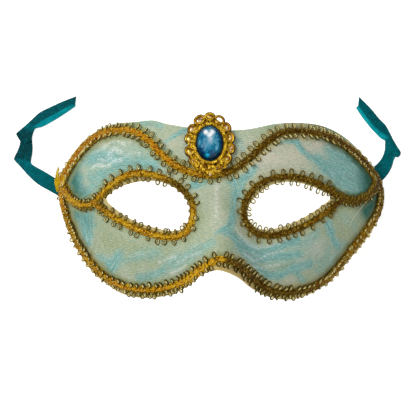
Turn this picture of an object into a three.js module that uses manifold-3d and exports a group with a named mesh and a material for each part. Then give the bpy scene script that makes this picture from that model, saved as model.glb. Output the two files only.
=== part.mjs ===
// A half mask for the eyes and nose: a thin moulded shell, gold braid, a brooch and two ribbon ties.
// Millimetres. It lies face up on its two temple rims, at z = 0. +X is the viewer's right,
// +Y goes to the forehead and +Z comes out of the face. Shapes are drawn from the line of the nose,
// and the whole is shifted at the end so that the origin is under the middle of the mask.

import * as THREE from 'three';
import { mergeVertices } from 'three/addons/utils/BufferGeometryUtils.js';
import Module from 'manifold-3d';

// Driving dimensions of the shell

const SHELL_THICKNESS = 1.4;
const BROW_DEPTH = 52;            // from the temple rims to the brow
const RIM_TURN = 1.02;            // how far past its rim the dome would go on before it turned upright
const LEFT_TEMPLE = { reach: 86.4, level: 12, up: 0.0195, down: 0.0092, ease: 95 };
const RIGHT_TEMPLE = { reach: 91.8, level: 7, up: 0.0225, down: 0.0185, ease: 75 };
const FOREHEAD = { level: 8, bend: 0.005 };
const EYE_SOCKET = { x: 36, y: 2, wide: 22, high: 14, rise: -5 };
const BROW_RIDGE = { x: 36, y: 24, wide: 26, high: 9, rise: 2.5 };
const CHEEK = { x: 40, y: -27, wide: 22, high: 11, rise: 2.5 };
const NOSE_ROOT = { x: 0, y: 13, wide: 10, high: 8, rise: -2 };
const NOSE = { top: 16, bottom: -28, rootRise: 1, tipRise: 20, rootWide: 9, tipWide: 15.5, edge: 2.2 };

// The outline, from the middle of the brow round the left temple, the nose arch and the right temple
const NOSE_ARCH_POINT = 21;
const OUTLINE = [
  [0, 40.2], [-15.3, 41.9], [-26.7, 44], [-34.1, 46.1], [-43.8, 45.7], [-53.9, 45.5], [-64.5, 42.9],
  [-74.5, 37], [-81.3, 28.6], [-86, 18.6], [-86.8, 7.5], [-85.4, -2.4], [-82.4, -11.8], [-78, -21.2],
  [-70.9, -31.2], [-61.1, -39], [-49.7, -44.8], [-37.6, -46.1], [-25.8, -44.1], [-16.3, -39], [-9, -32.4],
  [0, -29.6], [10.1, -33.3], [18.7, -40.5], [28.5, -45.7], [39.5, -47.3], [51, -44.8], [61.6, -38.6],
  [70.7, -29.5], [78.9, -21.1], [86.3, -11.8], [90.7, -1.3], [91.7, 8.6], [89.6, 18.6], [82.1, 29.3],
  [71.6, 38.7], [58.2, 44.2], [43.2, 45.3], [30.2, 44.1], [15.5, 40.9],
];
const LEFT_EYE = [
  [-59.1, 5.6], [-53.9, 10.8], [-46.3, 13.8], [-36.8, 15.3], [-28.5, 14.4], [-21.3, 11.1], [-15.7, 5.5],
  [-14, -1.1], [-16.9, -9], [-22.4, -11.1], [-31.7, -9.9], [-42.3, -6.9], [-53, -0.7],
];
const RIGHT_EYE = [
  [59.9, 6.6], [53.1, 10.8], [44.5, 13.8], [35, 14.7], [26.7, 12.7], [19.5, 7.3], [15.1, 0.9],
  [15.6, -5.2], [20.5, -9.8], [27.8, -10.3], [37.3, -7.9], [46.8, -3.5], [54.3, 1.4],
];
const EYE_CENTRE = { x: 37, y: 2 };
const RIM_COLUMNS = 58;
const MIDDLE_COLUMNS = 13;
const SHELL_ROWS = 7;

// Braid: a flat woven band, laid on the shell along these lines

const BRAID_WIDTH = 3;
const BRAID_HEIGHT = 1.3;
const BRAID_STEP = 4.6;
const FIT_GAP = 0.35;
const BROW_BRAID = [
  [-84.7, 16.7], [-83.4, 20.3], [-79.2, 27.1], [-72.3, 34.8], [-63, 41], [-52.5, 42.6], [-42.5, 41],
  [-34.9, 35.9], [-28.5, 28.7], [-21.3, 22.7], [-13.1, 19.2], [-3, 17.9], [7.2, 20.7], [16.3, 27.1],
  [25.2, 34.7], [34.3, 39.9], [45.2, 41.1], [57.6, 39.6], [69.1, 33.9], [78.4, 26.6], [84.6, 19.2],
  [86.5, 16.1],
];
const LEFT_EYE_BRAID = [
  [-82.3, 10.2], [-79.9, 6.9], [-77, 4.2], [-73.9, 2.6], [-70.8, 2], [-67.6, 2.5], [-64.7, 4.1],
  [-62, 6.3], [-59.8, 8.2], [-55.9, 12.2], [-46.2, 18.1], [-35.5, 19.1], [-24.9, 15.7], [-17.2, 9.8],
  [-12.4, 2.3], [-13.1, -8.2], [-20.3, -13.9], [-29.6, -14.2], [-40.1, -11.2], [-51.9, -5.1],
  [-57.3, -1.5], [-61.2, 0.8],
];
const RIGHT_EYE_BRAID = [
  [86.1, 12.2], [83.6, 9.8], [79.2, 6.2], [72.1, 4.1], [64.1, 6.1], [57.8, 10.8], [48.7, 15.4],
  [38, 17.7], [28.7, 17], [19.4, 12.4], [13.6, 4.5], [12.6, -3.7], [17.7, -11.4], [25.7, -13.4],
  [36.6, -11.3], [47.9, -6.5], [57, -0.9], [61.6, 2.6],
];
const LOWER_BRAID = [
  [-85, 12.6], [-83.9, 2], [-80, -10.3], [-73.7, -22.6], [-64.3, -33], [-52.8, -39.7], [-40.7, -41.7],
  [-28.9, -40.4], [-17.3, -35.4], [-8, -28.3], [0.7, -23.8], [10, -26.3], [19.1, -34.4], [28.3, -41],
  [39.2, -42.8], [50.5, -41.3], [61.6, -35.7], [70.8, -24.5], [79.6, -13.2], [87.2, -2.7], [89.3, 5.3],
  [88.9, 12.3],
];

// Brooch: an openwork oval setting with a bezel, and a faceted stone

const BROOCH_CENTRE = { x: -4.1, y: 33.1 };
const BROOCH_TILT = 0.25;
const BROW_EDGE = 42;              // the shell's edge above the brooch
const GEM = { halfWide: 6.9, halfHigh: 9.2, crown: 3.6, girdle: 1.2, sides: 16 };
const SETTING = { halfWide: 12.7, halfHigh: 16.5, plate: 1.2, scallop: 0.75, lobes: 14, lobePoints: 8 };
const LOBE_HOLE = { radius: 1.25, points: 8, inset: 2.35 };
const BEZEL = { gap: 0.35, wall: 1.25, height: 2.6, sides: 40 };

// Ribbons: satin ties that come out under the temples and lie on the table

const RIBBON_WIDTH = 7.6;
const RIBBON_THICKNESS = 0.6;
const RIBBON_LIFT = 0.2;
const RIBBON_STEP = 4;
const NOTCH = { width: 9.2, height: 1.15, length: 16 };
const LEFT_RIBBON = [
  [-80.6, 8.6], [-85.4, 11], [-90.1, 13.4], [-95.6, 16.7], [-101.2, 20.5], [-105.3, 24.7], [-107, 28.8],
  [-106.4, 33.2], [-105.7, 37.4], [-104.7, 41.7], [-102, 45.9], [-97.6, 49.6], [-92.3, 52.3],
  [-86.8, 54.9], [-81.8, 57.5], [-78.1, 59.8],
];
const RIGHT_RIBBON = [
  [80.5, 13.2], [85.1, 17.3], [90, 20.9], [93.4, 24.2], [95.2, 27.6], [95.9, 31.8], [95.4, 35.6],
  [94.2, 39.3], [92, 43.2], [89.2, 46.8], [85.4, 50.8], [81.5, 55.1], [77.7, 59.2],
];

const MIDDLE_SHIFT = { x: -2.5, y: -0.6 };

// Materials

const lace = new THREE.MeshStandardMaterial({ color: 0xa9c4b0, roughness: 0.6, metalness: 0 });
const gold = new THREE.MeshStandardMaterial({ color: 0xb98420, roughness: 0.35, metalness: 0.8 });
const stone = new THREE.MeshStandardMaterial({ color: 0x1f6fa8, roughness: 0.08, metalness: 0 });
const satin = new THREE.MeshStandardMaterial({ color: 0x00646a, roughness: 0.4, metalness: 0 });

// Form of the face: the height of the shell's front over the table at any x, y

function templeReach(temple, y) {
  const away = y - temple.level;
  const bend = away > 0 ? temple.up : temple.down;
  return temple.reach - bend * away ** 2 / (1 + (away / temple.ease) ** 2);
}

function bump(x, y, form) {
  return form.rise * Math.exp(-(((x - form.x) / form.wide) ** 2) - ((y - form.y) / form.high) ** 2);
}

function faceHeight(x, y) {
  const side = Math.abs(x);
  const reach = RIM_TURN * templeReach(x < 0 ? LEFT_TEMPLE : RIGHT_TEMPLE, y);
  const across = Math.min(side / reach, 0.9999);
  const lip = Math.sqrt(1 - 1 / RIM_TURN ** 2);
  const dome = BROW_DEPTH * (Math.sqrt(1 - across ** 2) - lip) / (1 - lip);
  const forehead = FOREHEAD.bend * (y - FOREHEAD.level) ** 2 * (1 - across ** 2);
  const down = THREE.MathUtils.smoothstep(NOSE.top - y, 0, NOSE.top - NOSE.bottom);
  const noseWide = THREE.MathUtils.lerp(NOSE.rootWide, NOSE.tipWide, down);
  const noseRise = THREE.MathUtils.lerp(NOSE.rootRise, NOSE.tipRise, down);
  const nose = noseRise * Math.exp(-((side / noseWide) ** NOSE.edge));
  const bumps = [EYE_SOCKET, BROW_RIDGE, CHEEK, NOSE_ROOT].map((form) => bump(side, y, form));
  return dome - forehead + nose + bumps.reduce((sum, rise) => sum + rise, 0);
}

function facePoint(x, y) {
  return new THREE.Vector3(x, y, faceHeight(x, y));
}

function faceNormal(x, y) {
  const reach = 0.05;
  const slopeX = (faceHeight(x + reach, y) - faceHeight(x - reach, y)) / (2 * reach);
  const slopeY = (faceHeight(x, y + reach) - faceHeight(x, y - reach)) / (2 * reach);
  return new THREE.Vector3(-slopeX, -slopeY, 1).normalize();
}

// Curves and mesh helpers

function smoothLine(points, closed) {
  const line = points.map(([x, y]) => new THREE.Vector3(x, y, 0));
  return new THREE.CatmullRomCurve3(line, closed, 'centripetal');
}

// Points at even spacing along the part of a curve between two of its parameters, both ends kept
function evenPoints(curve, from, to, count) {
  const fine = 40 * count;
  const dense = [];
  for (let i = 0; i <= fine; i++) dense.push(curve.getPoint(from + (to - from) * i / fine));
  const run = [0];
  for (let i = 1; i <= fine; i++) run.push(run[i - 1] + dense[i].distanceTo(dense[i - 1]));
  const even = [];
  let k = 0;
  for (let i = 0; i <= count; i++) {
    const want = run[fine] * i / count;
    while (k < fine - 1 && run[k + 1] < want) k++;
    const part = (want - run[k]) / (run[k + 1] - run[k]);
    even.push(dense[k].clone().lerp(dense[k + 1], THREE.MathUtils.clamp(part, 0, 1)));
  }
  return even;
}

function closedMesh(corners, faces) {
  const geometry = new THREE.BufferGeometry();
  geometry.setAttribute('position', new THREE.Float32BufferAttribute(corners.flatMap((p) => [...p]), 3));
  geometry.setIndex(faces);
  return geometry;
}

// Rings of corners joined one to the next, with a flat fan at both ends
function sweptRings(rings) {
  const sides = rings[0].length;
  const faces = [];
  for (let r = 0; r + 1 < rings.length; r++) {
    for (let i = 0; i < sides; i++) {
      const a = r * sides + i;
      const b = r * sides + (i + 1) % sides;
      faces.push(a, b, b + sides, a, b + sides, a + sides);
    }
  }
  const last = (rings.length - 1) * sides;
  for (let i = 1; i + 1 < sides; i++) {
    faces.push(0, i + 1, i, last, last + i, last + i + 1);
  }
  return closedMesh(rings.flat(), faces);
}

const wasm = await Module();
wasm.setup();

function toSolid(geometry) {
  const bare = geometry.clone();
  bare.deleteAttribute('normal');
  bare.deleteAttribute('uv');
  const merged = mergeVertices(bare, 1e-4);
  const mesh = new wasm.Mesh({
    numProp: 3,
    vertProperties: new Float32Array(merged.attributes.position.array),
    triVerts: new Uint32Array(merged.index.array),
  });
  return new wasm.Manifold(mesh);
}

function fromSolid(solid) {
  const mesh = solid.getMesh();
  const geometry = new THREE.BufferGeometry();
  geometry.setAttribute('position', new THREE.BufferAttribute(mesh.vertProperties, 3));
  geometry.setIndex(new THREE.BufferAttribute(mesh.triVerts, 1));
  return geometry;
}

// Shell: two halves, each a web of lines from the eye hole out to the rim and the line of the nose

// Where a ray from the centre towards a point crosses the closed line round that centre
function rayCrossing(loop, centre, towards) {
  const way = towards.clone().sub(centre);
  const turn = (p, q) => p.x * q.y - p.y * q.x;
  for (let i = 0; i < loop.length; i++) {
    const a = loop[i].clone().sub(centre);
    const b = loop[(i + 1) % loop.length].clone().sub(centre);
    const left = turn(way, a);
    const right = turn(way, b);
    if (left * right <= 0 && a.dot(way) > 0 && left !== right) {
      return a.lerp(b, left / (left - right)).add(centre);
    }
  }
  throw new Error('the eye hole does not surround its centre');
}

function shellHalf(from, to, middle, eye, centreX) {
  const centre = new THREE.Vector3(centreX, EYE_CENTRE.y, 0);
  const rim = evenPoints(smoothLine(OUTLINE, true), from, to, RIM_COLUMNS);
  const outer = [...rim, ...middle.slice(1, -1)];
  const loop = smoothLine(eye, true).getPoints(400).slice(1);
  const inner = outer.map((point) => rayCrossing(loop, centre, point));
  const front = [];
  const back = [];
  for (let row = 0; row <= SHELL_ROWS; row++) {
    outer.forEach((point, i) => {
      const spot = inner[i].clone().lerp(point, row / SHELL_ROWS);
      const top = facePoint(spot.x, spot.y);
      front.push(top);
      back.push(top.clone().addScaledVector(faceNormal(spot.x, spot.y), -SHELL_THICKNESS));
    });
  }
  return { corners: [...front, ...back], columns: outer.length, rimColumns: RIM_COLUMNS };
}

// The faces of a half: front, back, eye edge and rim edge, open along the line of the nose
function halfFaces({ columns, rimColumns }, start) {
  const faces = [];
  const backStart = (SHELL_ROWS + 1) * columns;
  const quad = (a, b, c, d) => faces.push(...[a, b, c, a, c, d].map((index) => start + index));
  for (let i = 0; i < columns; i++) {
    const next = (i + 1) % columns;
    for (let row = 0; row < SHELL_ROWS; row++) {
      const low = row * columns;
      const high = low + columns;
      quad(low + i, high + i, high + next, low + next);
      quad(backStart + low + i, backStart + low + next, backStart + high + next, backStart + high + i);
    }
    quad(i, next, backStart + next, backStart + i);
    const edge = SHELL_ROWS * columns;
    if (i < rimColumns) quad(edge + i, backStart + edge + i, backStart + edge + next, edge + next);
  }
  return faces;
}

function makeShell() {
  const bottom = NOSE_ARCH_POINT / OUTLINE.length;
  const [, archY] = OUTLINE[NOSE_ARCH_POINT];
  const [, browY] = OUTLINE[0];
  const middle = [];
  for (let i = 0; i <= MIDDLE_COLUMNS; i++) {
    middle.push(new THREE.Vector3(0, THREE.MathUtils.lerp(archY, browY, i / MIDDLE_COLUMNS), 0));
  }
  const left = shellHalf(0, bottom, middle, LEFT_EYE, -EYE_CENTRE.x);
  const right = shellHalf(bottom, 1, [...middle].reverse(), RIGHT_EYE, EYE_CENTRE.x);
  const corners = [...left.corners, ...right.corners];
  const faces = [...halfFaces(left, 0), ...halfFaces(right, left.corners.length)];
  const sheet = toSolid(closedMesh(corners, faces));
  return fromSolid(notches().reduce((solid, notch) => solid.subtract(notch), sheet.subtract(belowTable())));
}

function belowTable() {
  return toSolid(new THREE.BoxGeometry(300, 300, 20).translate(0, 0, -10));
}

// A shallow relief in each temple rim, where the ribbon comes out from behind
function notches() {
  return [LEFT_RIBBON, RIGHT_RIBBON].map(([start, , exit]) => {
    const way = Math.atan2(exit[1] - start[1], exit[0] - start[0]);
    const box = new THREE.BoxGeometry(NOTCH.length, NOTCH.width, 2 * NOTCH.height);
    return toSolid(box.rotateZ(way).translate((start[0] + exit[0]) / 2, (start[1] + exit[1]) / 2, 0));
  });
}

// Braid: a five-sided band, its flat side on the shell

function makeBraid(points) {
  const curve = smoothLine(points, false);
  const count = Math.round(curve.getLength() / BRAID_STEP);
  const half = BRAID_WIDTH / 2;
  const shoulder = { side: 0.8 * half, rise: 0.7 * BRAID_HEIGHT };
  const section = [
    [-half, 0], [half, 0], [shoulder.side, shoulder.rise], [0, BRAID_HEIGHT], [-shoulder.side, shoulder.rise],
  ];
  const rings = evenPoints(curve, 0, 1, count).map((spot, i, all) => {
    const before = all[Math.max(i - 1, 0)];
    const after = all[Math.min(i + 1, count)];
    const way = facePoint(after.x, after.y).sub(facePoint(before.x, before.y)).normalize();
    const out = faceNormal(spot.x, spot.y);
    const across = way.clone().cross(out).normalize();
    const base = facePoint(spot.x, spot.y);
    return section.map(([side, rise]) => base.clone()
      .addScaledVector(across, -side)
      .addScaledVector(out, rise + FIT_GAP));
  });
  return sweptRings(rings);
}

// Brooch

// How high the flat back of the setting stands, so that it just clears the shell under it
function broochSeat() {
  let seat = -Infinity;
  for (let round = 0; round < 24; round++) {
    for (const reach of [0.3, 0.6, 1]) {
      const angle = 2 * Math.PI * round / 24;
      const alongX = reach * SETTING.halfWide * Math.cos(angle);
      const alongY = reach * SETTING.halfHigh * Math.sin(angle) * Math.cos(BROOCH_TILT);
      const height = faceHeight(BROOCH_CENTRE.x + alongX, BROOCH_CENTRE.y + alongY);
      if (BROOCH_CENTRE.y + alongY < BROW_EDGE) {
        seat = Math.max(seat, height + alongY * Math.tan(BROOCH_TILT));
      }
    }
  }
  return seat + FIT_GAP;
}

function placeOnBrow(mesh) {
  mesh.rotation.set(-BROOCH_TILT, 0, 0);
  mesh.position.set(BROOCH_CENTRE.x, BROOCH_CENTRE.y, broochSeat());
  return mesh;
}

function ovalPath(halfWide, halfHigh, path = new THREE.Path()) {
  return path.absellipse(0, 0, halfWide, halfHigh, 0, 2 * Math.PI, false, 0);
}

function makeSetting() {
  const outline = [];
  const steps = SETTING.lobes * SETTING.lobePoints;
  for (let i = 0; i < steps; i++) {
    const angle = 2 * Math.PI * i / steps;
    const dip = SETTING.scallop * (1 - Math.abs(Math.sin(SETTING.lobes * angle / 2)));
    const x = (SETTING.halfWide - 2 * dip) * Math.cos(angle);
    const y = (SETTING.halfHigh - 2 * dip) * Math.sin(angle);
    outline.push(new THREE.Vector2(x, y));
  }
  const shape = new THREE.Shape(outline);
  for (let lobe = 0; lobe < SETTING.lobes; lobe++) {
    const angle = 2 * Math.PI * (lobe + 0.5) / SETTING.lobes;
    const x = (SETTING.halfWide - LOBE_HOLE.inset) * Math.cos(angle);
    const y = (SETTING.halfHigh - LOBE_HOLE.inset) * Math.sin(angle);
    const ring = [];
    for (let i = 0; i < LOBE_HOLE.points; i++) {
      const turn = -2 * Math.PI * i / LOBE_HOLE.points;
      const spot = new THREE.Vector2(Math.cos(turn), Math.sin(turn)).multiplyScalar(LOBE_HOLE.radius);
      ring.push(spot.add(new THREE.Vector2(x, y)));
    }
    shape.holes.push(new THREE.Path(ring));
  }
  const plate = new THREE.ExtrudeGeometry(shape, { depth: SETTING.plate, bevelEnabled: false });
  const inner = BEZEL.gap;
  const outer = BEZEL.gap + BEZEL.wall;
  const wall = ovalPath(GEM.halfWide + outer, GEM.halfHigh + outer, new THREE.Shape());
  wall.holes.push(ovalPath(GEM.halfWide + inner, GEM.halfHigh + inner));
  const bezel = new THREE.ExtrudeGeometry(wall, {
    depth: BEZEL.height - SETTING.plate / 2,
    bevelEnabled: false,
    curveSegments: BEZEL.sides / 2,
  }).translate(0, 0, SETTING.plate / 2);
  return fromSolid(toSolid(plate).add(toSolid(bezel)));
}

function makeGem() {
  const base = SETTING.plate + FIT_GAP;
  const rings = [[0.97, 0], [1, GEM.girdle], [0.78, 0.72], [0.5, 1]].map(([reach, rise], i) => {
    const height = i < 2 ? rise : THREE.MathUtils.lerp(GEM.girdle, GEM.girdle + GEM.crown, rise);
    const turn = Math.PI / GEM.sides * (i % 2);
    const ring = [];
    for (let side = 0; side < GEM.sides; side++) {
      const angle = 2 * Math.PI * side / GEM.sides + (i > 1 ? turn : 0);
      ring.push(new THREE.Vector3(
        reach * GEM.halfWide * Math.cos(angle),
        reach * GEM.halfHigh * Math.sin(angle),
        base + height,
      ));
    }
    return ring;
  });
  return sweptRings(rings);
}

// Ribbon: a flat eight-sided section along a line on the table

function makeRibbon(points) {
  const height = RIBBON_LIFT + RIBBON_THICKNESS / 2;
  const line = points.map(([x, y]) => new THREE.Vector3(x, y, height));
  const path = new THREE.CatmullRomCurve3(line, false, 'centripetal');
  const thick = RIBBON_THICKNESS / 2;
  const edge = RIBBON_WIDTH / 2;
  const corner = 0.2;
  const section = [
    [thick, edge - corner], [thick - corner, edge], [corner - thick, edge], [-thick, edge - corner],
    [-thick, corner - edge], [corner - thick, -edge], [thick - corner, -edge], [thick, corner - edge],
  ].map(([x, y]) => new THREE.Vector2(x, y));
  const steps = Math.round(path.getLength() / RIBBON_STEP);
  const settings = { steps, bevelEnabled: false, extrudePath: path };
  return new THREE.ExtrudeGeometry(new THREE.Shape(section), settings);
}

// Assembly

function named(name, geometry, material) {
  const mesh = new THREE.Mesh(geometry, material);
  mesh.name = name;
  return mesh;
}

const group = new THREE.Group();
group.position.set(MIDDLE_SHIFT.x, MIDDLE_SHIFT.y, 0);
group.add(named('mask_shell', makeShell(), lace));
group.add(named('braid_brow', makeBraid(BROW_BRAID), gold));
group.add(named('braid_eye_left', makeBraid(LEFT_EYE_BRAID), gold));
group.add(named('braid_eye_right', makeBraid(RIGHT_EYE_BRAID), gold));
group.add(named('braid_lower_rim', makeBraid(LOWER_BRAID), gold));
group.add(placeOnBrow(named('brooch_setting', makeSetting(), gold)));
group.add(placeOnBrow(named('brooch_gem', makeGem(), stone)));
group.add(named('ribbon_left', makeRibbon(LEFT_RIBBON), satin));
group.add(named('ribbon_right', makeRibbon(RIGHT_RIBBON), satin));

export default group;
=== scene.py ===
"""The looks of a half mask: lace-covered shell, gold braid with wire loops, brooch and satin ties.

Sizes are in millimetres and measured as the solids are: from the line of the nose, with the viewer's
right as +X, the forehead as +Y and the height over the table as +Z. to_row() turns places measured
that way into the row's frame, in metres.
"""

import math

import bpy
import numpy as np
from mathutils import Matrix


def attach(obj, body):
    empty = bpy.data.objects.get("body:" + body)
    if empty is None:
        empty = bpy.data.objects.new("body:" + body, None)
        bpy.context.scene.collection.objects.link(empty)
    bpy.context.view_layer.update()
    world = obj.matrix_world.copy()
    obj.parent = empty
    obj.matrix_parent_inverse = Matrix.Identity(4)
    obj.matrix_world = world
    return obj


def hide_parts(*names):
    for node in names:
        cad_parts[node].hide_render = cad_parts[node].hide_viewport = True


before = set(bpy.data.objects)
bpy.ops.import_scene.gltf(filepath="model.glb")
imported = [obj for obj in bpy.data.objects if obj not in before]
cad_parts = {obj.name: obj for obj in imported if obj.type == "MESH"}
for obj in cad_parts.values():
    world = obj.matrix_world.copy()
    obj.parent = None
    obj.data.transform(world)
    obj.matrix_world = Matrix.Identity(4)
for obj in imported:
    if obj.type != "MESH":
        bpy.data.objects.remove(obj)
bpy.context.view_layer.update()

MM = 0.001
MIDDLE_SHIFT = np.array([-2.5, -0.6, 0.0])
BODY = "root"
RANDOM = np.random.default_rng(20)

# Camera: straight down over the mask, which lies face up

CAMERA_PLACE = (-5.0, 0.9, 620.0)
CAMERA_LENS = 97.01
CAMERA_SENSOR = 36.0

# Form of the face, as in the solids. Each rise or hollow has its middle, half sizes and height.

SHELL_THICKNESS = 1.4
BROW_DEPTH = 52.0
RIM_TURN = 1.02
LEFT_TEMPLE = {"reach": 86.4, "level": 12.0, "up": 0.0195, "down": 0.0092, "ease": 95.0}
RIGHT_TEMPLE = {"reach": 91.8, "level": 7.0, "up": 0.0225, "down": 0.0185, "ease": 75.0}
FOREHEAD_LEVEL = 8.0
FOREHEAD_BEND = 0.005
EYE_SOCKET = (36.0, 2.0, 22.0, 14.0, -5.0)
BROW_RIDGE = (36.0, 24.0, 26.0, 9.0, 2.5)
CHEEK = (40.0, -27.0, 22.0, 11.0, 2.5)
NOSE_ROOT = (0.0, 13.0, 10.0, 8.0, -2.0)
NOSE = {"top": 16.0, "bottom": -28.0, "root_rise": 1.0, "tip_rise": 20.0,
        "root_wide": 9.0, "tip_wide": 15.5, "edge": 2.2}

NOSE_ARCH_POINT = 21
OUTLINE = [
    (0, 40.2), (-15.3, 41.9), (-26.7, 44), (-34.1, 46.1), (-43.8, 45.7), (-53.9, 45.5), (-64.5, 42.9),
    (-74.5, 37), (-81.3, 28.6), (-86, 18.6), (-86.8, 7.5), (-85.4, -2.4), (-82.4, -11.8), (-78, -21.2),
    (-70.9, -31.2), (-61.1, -39), (-49.7, -44.8), (-37.6, -46.1), (-25.8, -44.1), (-16.3, -39), (-9, -32.4),
    (0, -29.6), (10.1, -33.3), (18.7, -40.5), (28.5, -45.7), (39.5, -47.3), (51, -44.8), (61.6, -38.6),
    (70.7, -29.5), (78.9, -21.1), (86.3, -11.8), (90.7, -1.3), (91.7, 8.6), (89.6, 18.6), (82.1, 29.3),
    (71.6, 38.7), (58.2, 44.2), (43.2, 45.3), (30.2, 44.1), (15.5, 40.9),
]
LEFT_EYE = [
    (-59.1, 5.6), (-53.9, 10.8), (-46.3, 13.8), (-36.8, 15.3), (-28.5, 14.4), (-21.3, 11.1), (-15.7, 5.5),
    (-14, -1.1), (-16.9, -9), (-22.4, -11.1), (-31.7, -9.9), (-42.3, -6.9), (-53, -0.7),
]
RIGHT_EYE = [
    (59.9, 6.6), (53.1, 10.8), (44.5, 13.8), (35, 14.7), (26.7, 12.7), (19.5, 7.3), (15.1, 0.9),
    (15.6, -5.2), (20.5, -9.8), (27.8, -10.3), (37.3, -7.9), (46.8, -3.5), (54.3, 1.4),
]
EYE_CENTRE = (37.0, 2.0)

# Lines that the braid follows

BROW_BRAID = [
    (-85, 14.2), (-84, 16.6), (-82.1, 19.7), (-77.8, 26.2), (-71.3, 33.7), (-62.5, 40), (-52.4, 41.9),
    (-42.7, 40.4), (-35.3, 35.4), (-28.8, 28.3), (-21.5, 22.5), (-13.2, 19), (-2.9, 17.6), (7.5, 20.1),
    (16.6, 26.7), (25.2, 34.7), (34.2, 40), (45.1, 40.8), (57.5, 39.2), (69, 33.8), (78.3, 26.5),
    (84.6, 19.2), (87.3, 15.6), (88.6, 12.8),
]
LEFT_EYE_BRAID = [
    (-85, 15.6), (-82.9, 11.8), (-80.9, 8.6), (-79, 6.2), (-76.2, 4.3), (-73.5, 2.9), (-70.8, 2.4),
    (-67.6, 2.7), (-64.7, 4.1), (-62.2, 6.5), (-60.1, 8.5), (-56.1, 12.3), (-46.3, 17.8), (-39, 18.7),
    (-32.3, 17.4), (-27.3, 16), (-21.9, 13.4), (-18.3, 10.5), (-14.9, 6.8), (-13, 2.4), (-13.1, -5),
    (-15.9, -10.8), (-21.1, -13.6), (-29.5, -13.5), (-40.1, -10.6), (-52.1, -5.1), (-57.5, -1.7),
    (-61.1, 0.7), (-64.2, 3), (-66.3, 3.9),
]
RIGHT_EYE_BRAID = [
    (87, 17.2), (86.3, 14.3), (84.5, 11.2), (81.8, 8.4), (78.6, 6.2), (72.1, 4.4), (64.1, 6.2), (57.7, 10.5),
    (48.5, 14.7), (37.9, 16.8), (28.9, 16.1), (19.8, 11.8), (14.2, 4.3), (13.3, -3.5), (18.2, -11),
    (25.8, -13.3), (36.6, -11.3), (48, -6.7), (57.1, -1), (61.6, 2.7), (65.1, 5.1),
]
LOWER_BRAID = [
    (-84.7, 12.6), (-83.4, 2.1), (-79.4, -10), (-73.1, -22.2), (-63.9, -32.7), (-52.7, -39.6),
    (-40.7, -42), (-28.7, -41.1), (-16.8, -36.3), (-7.7, -29), (0.7, -24.5), (9.4, -27.4),
    (18.3, -35.5), (27.9, -41.9), (39.2, -43.4), (50.5, -41.4), (61.1, -35.3), (70.2, -24),
    (79.1, -12.9), (86.7, -2.5), (88.8, 5.4), (88.6, 12.3),
]

# Brooch, as in the solids

BROW_EDGE = 42.0
BROOCH_CENTRE = (-4.1, 33.1)
BROOCH_TILT = 0.25
GEM_HALF = (7.05, 9.5)
GEM_CROWN = 3.6
GEM_GIRDLE = 1.2
SETTING_HALF = (12.7, 16.5)
SETTING_PLATE = 1.2
FIT_GAP = 0.35

# Ribbons, as in the solids

RIBBON_WIDTH = 7.6
LEFT_RIBBON = [
    (-80.6, 8.6), (-85.4, 11), (-90.1, 13.4), (-95.6, 16.7), (-101.2, 20.5), (-105.3, 24.7), (-107, 28.8),
    (-106.4, 33.2), (-105.7, 37.4), (-104.7, 41.7), (-102, 45.9), (-97.6, 49.6), (-92.3, 52.3),
    (-86.8, 54.9), (-81.8, 57.5), (-78.1, 59.8),
]
RIGHT_RIBBON = [
    (80.5, 13.2), (85.1, 17.3), (90, 20.9), (93.4, 24.2), (95.2, 27.6), (95.9, 31.8), (95.4, 35.6),
    (94.2, 39.3), (92, 43.2), (89.2, 46.8), (85.4, 50.8), (81.5, 55.1), (77.7, 59.2),
]
LEFT_RIBBON_LENGTH = 0.080
RIGHT_RIBBON_LENGTH = 0.059


# Numbers and curves

LATTICE = 64


def to_row(points):
    """Places in millimetres from the line of the nose, as metres in the row's frame."""
    return (np.asarray(points, float).reshape(-1, 3) + MIDDLE_SHIFT) * MM


def unit(vectors):
    """The vectors at length 1."""
    return vectors / np.maximum(np.linalg.norm(vectors, axis=-1, keepdims=True), 1e-12)


def smooth_step(value, low=0.0, high=1.0):
    """0 below low, 1 above high and a smooth rise between."""
    part = np.clip((np.asarray(value, float) - low) / (high - low), 0, 1)
    return part * part * (3 - 2 * part)


def smooth_line(points, closed=False, steps=24):
    """A centripetal Catmull-Rom curve through the points, with that many steps to each span."""
    knots = np.asarray(points, float)
    count = len(knots)
    if closed:
        before, after = knots[-1:], knots[:2]
    else:
        before, after = 2 * knots[:1] - knots[1:2], 2 * knots[-1:] - knots[-2:-1]
    chain = np.vstack([before, knots, after])
    part = np.linspace(0, 1, steps, endpoint=False)[:, None]
    spans = []
    for i in range(count if closed else count - 1):
        a, b, c, d = chain[i:i + 4]
        ab, bc, cd = (max(np.linalg.norm(q - p), 1e-6) ** 0.5 for p, q in ((a, b), (b, c), (c, d)))
        leave = ((b - a) / ab - (c - a) / (ab + bc) + (c - b) / bc) * bc
        reach = ((c - b) / bc - (d - b) / (bc + cd) + (d - c) / cd) * bc
        spans.append(b + leave * part + (3 * (c - b) - 2 * leave - reach) * part ** 2
                     + (2 * (b - c) + leave + reach) * part ** 3)
    return np.vstack(spans if closed else spans + [knots[-1:]])


def run_along(line):
    """The distance along a line at each of its points."""
    return np.concatenate([[0], np.cumsum(np.linalg.norm(np.diff(line, axis=0), axis=1))])


def evenly(line, count):
    """The line again, as count equal steps."""
    run = run_along(line)
    want = np.linspace(0, run[-1], count + 1)
    return np.column_stack([np.interp(want, run, line[:, k]) for k in range(line.shape[1])])


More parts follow.
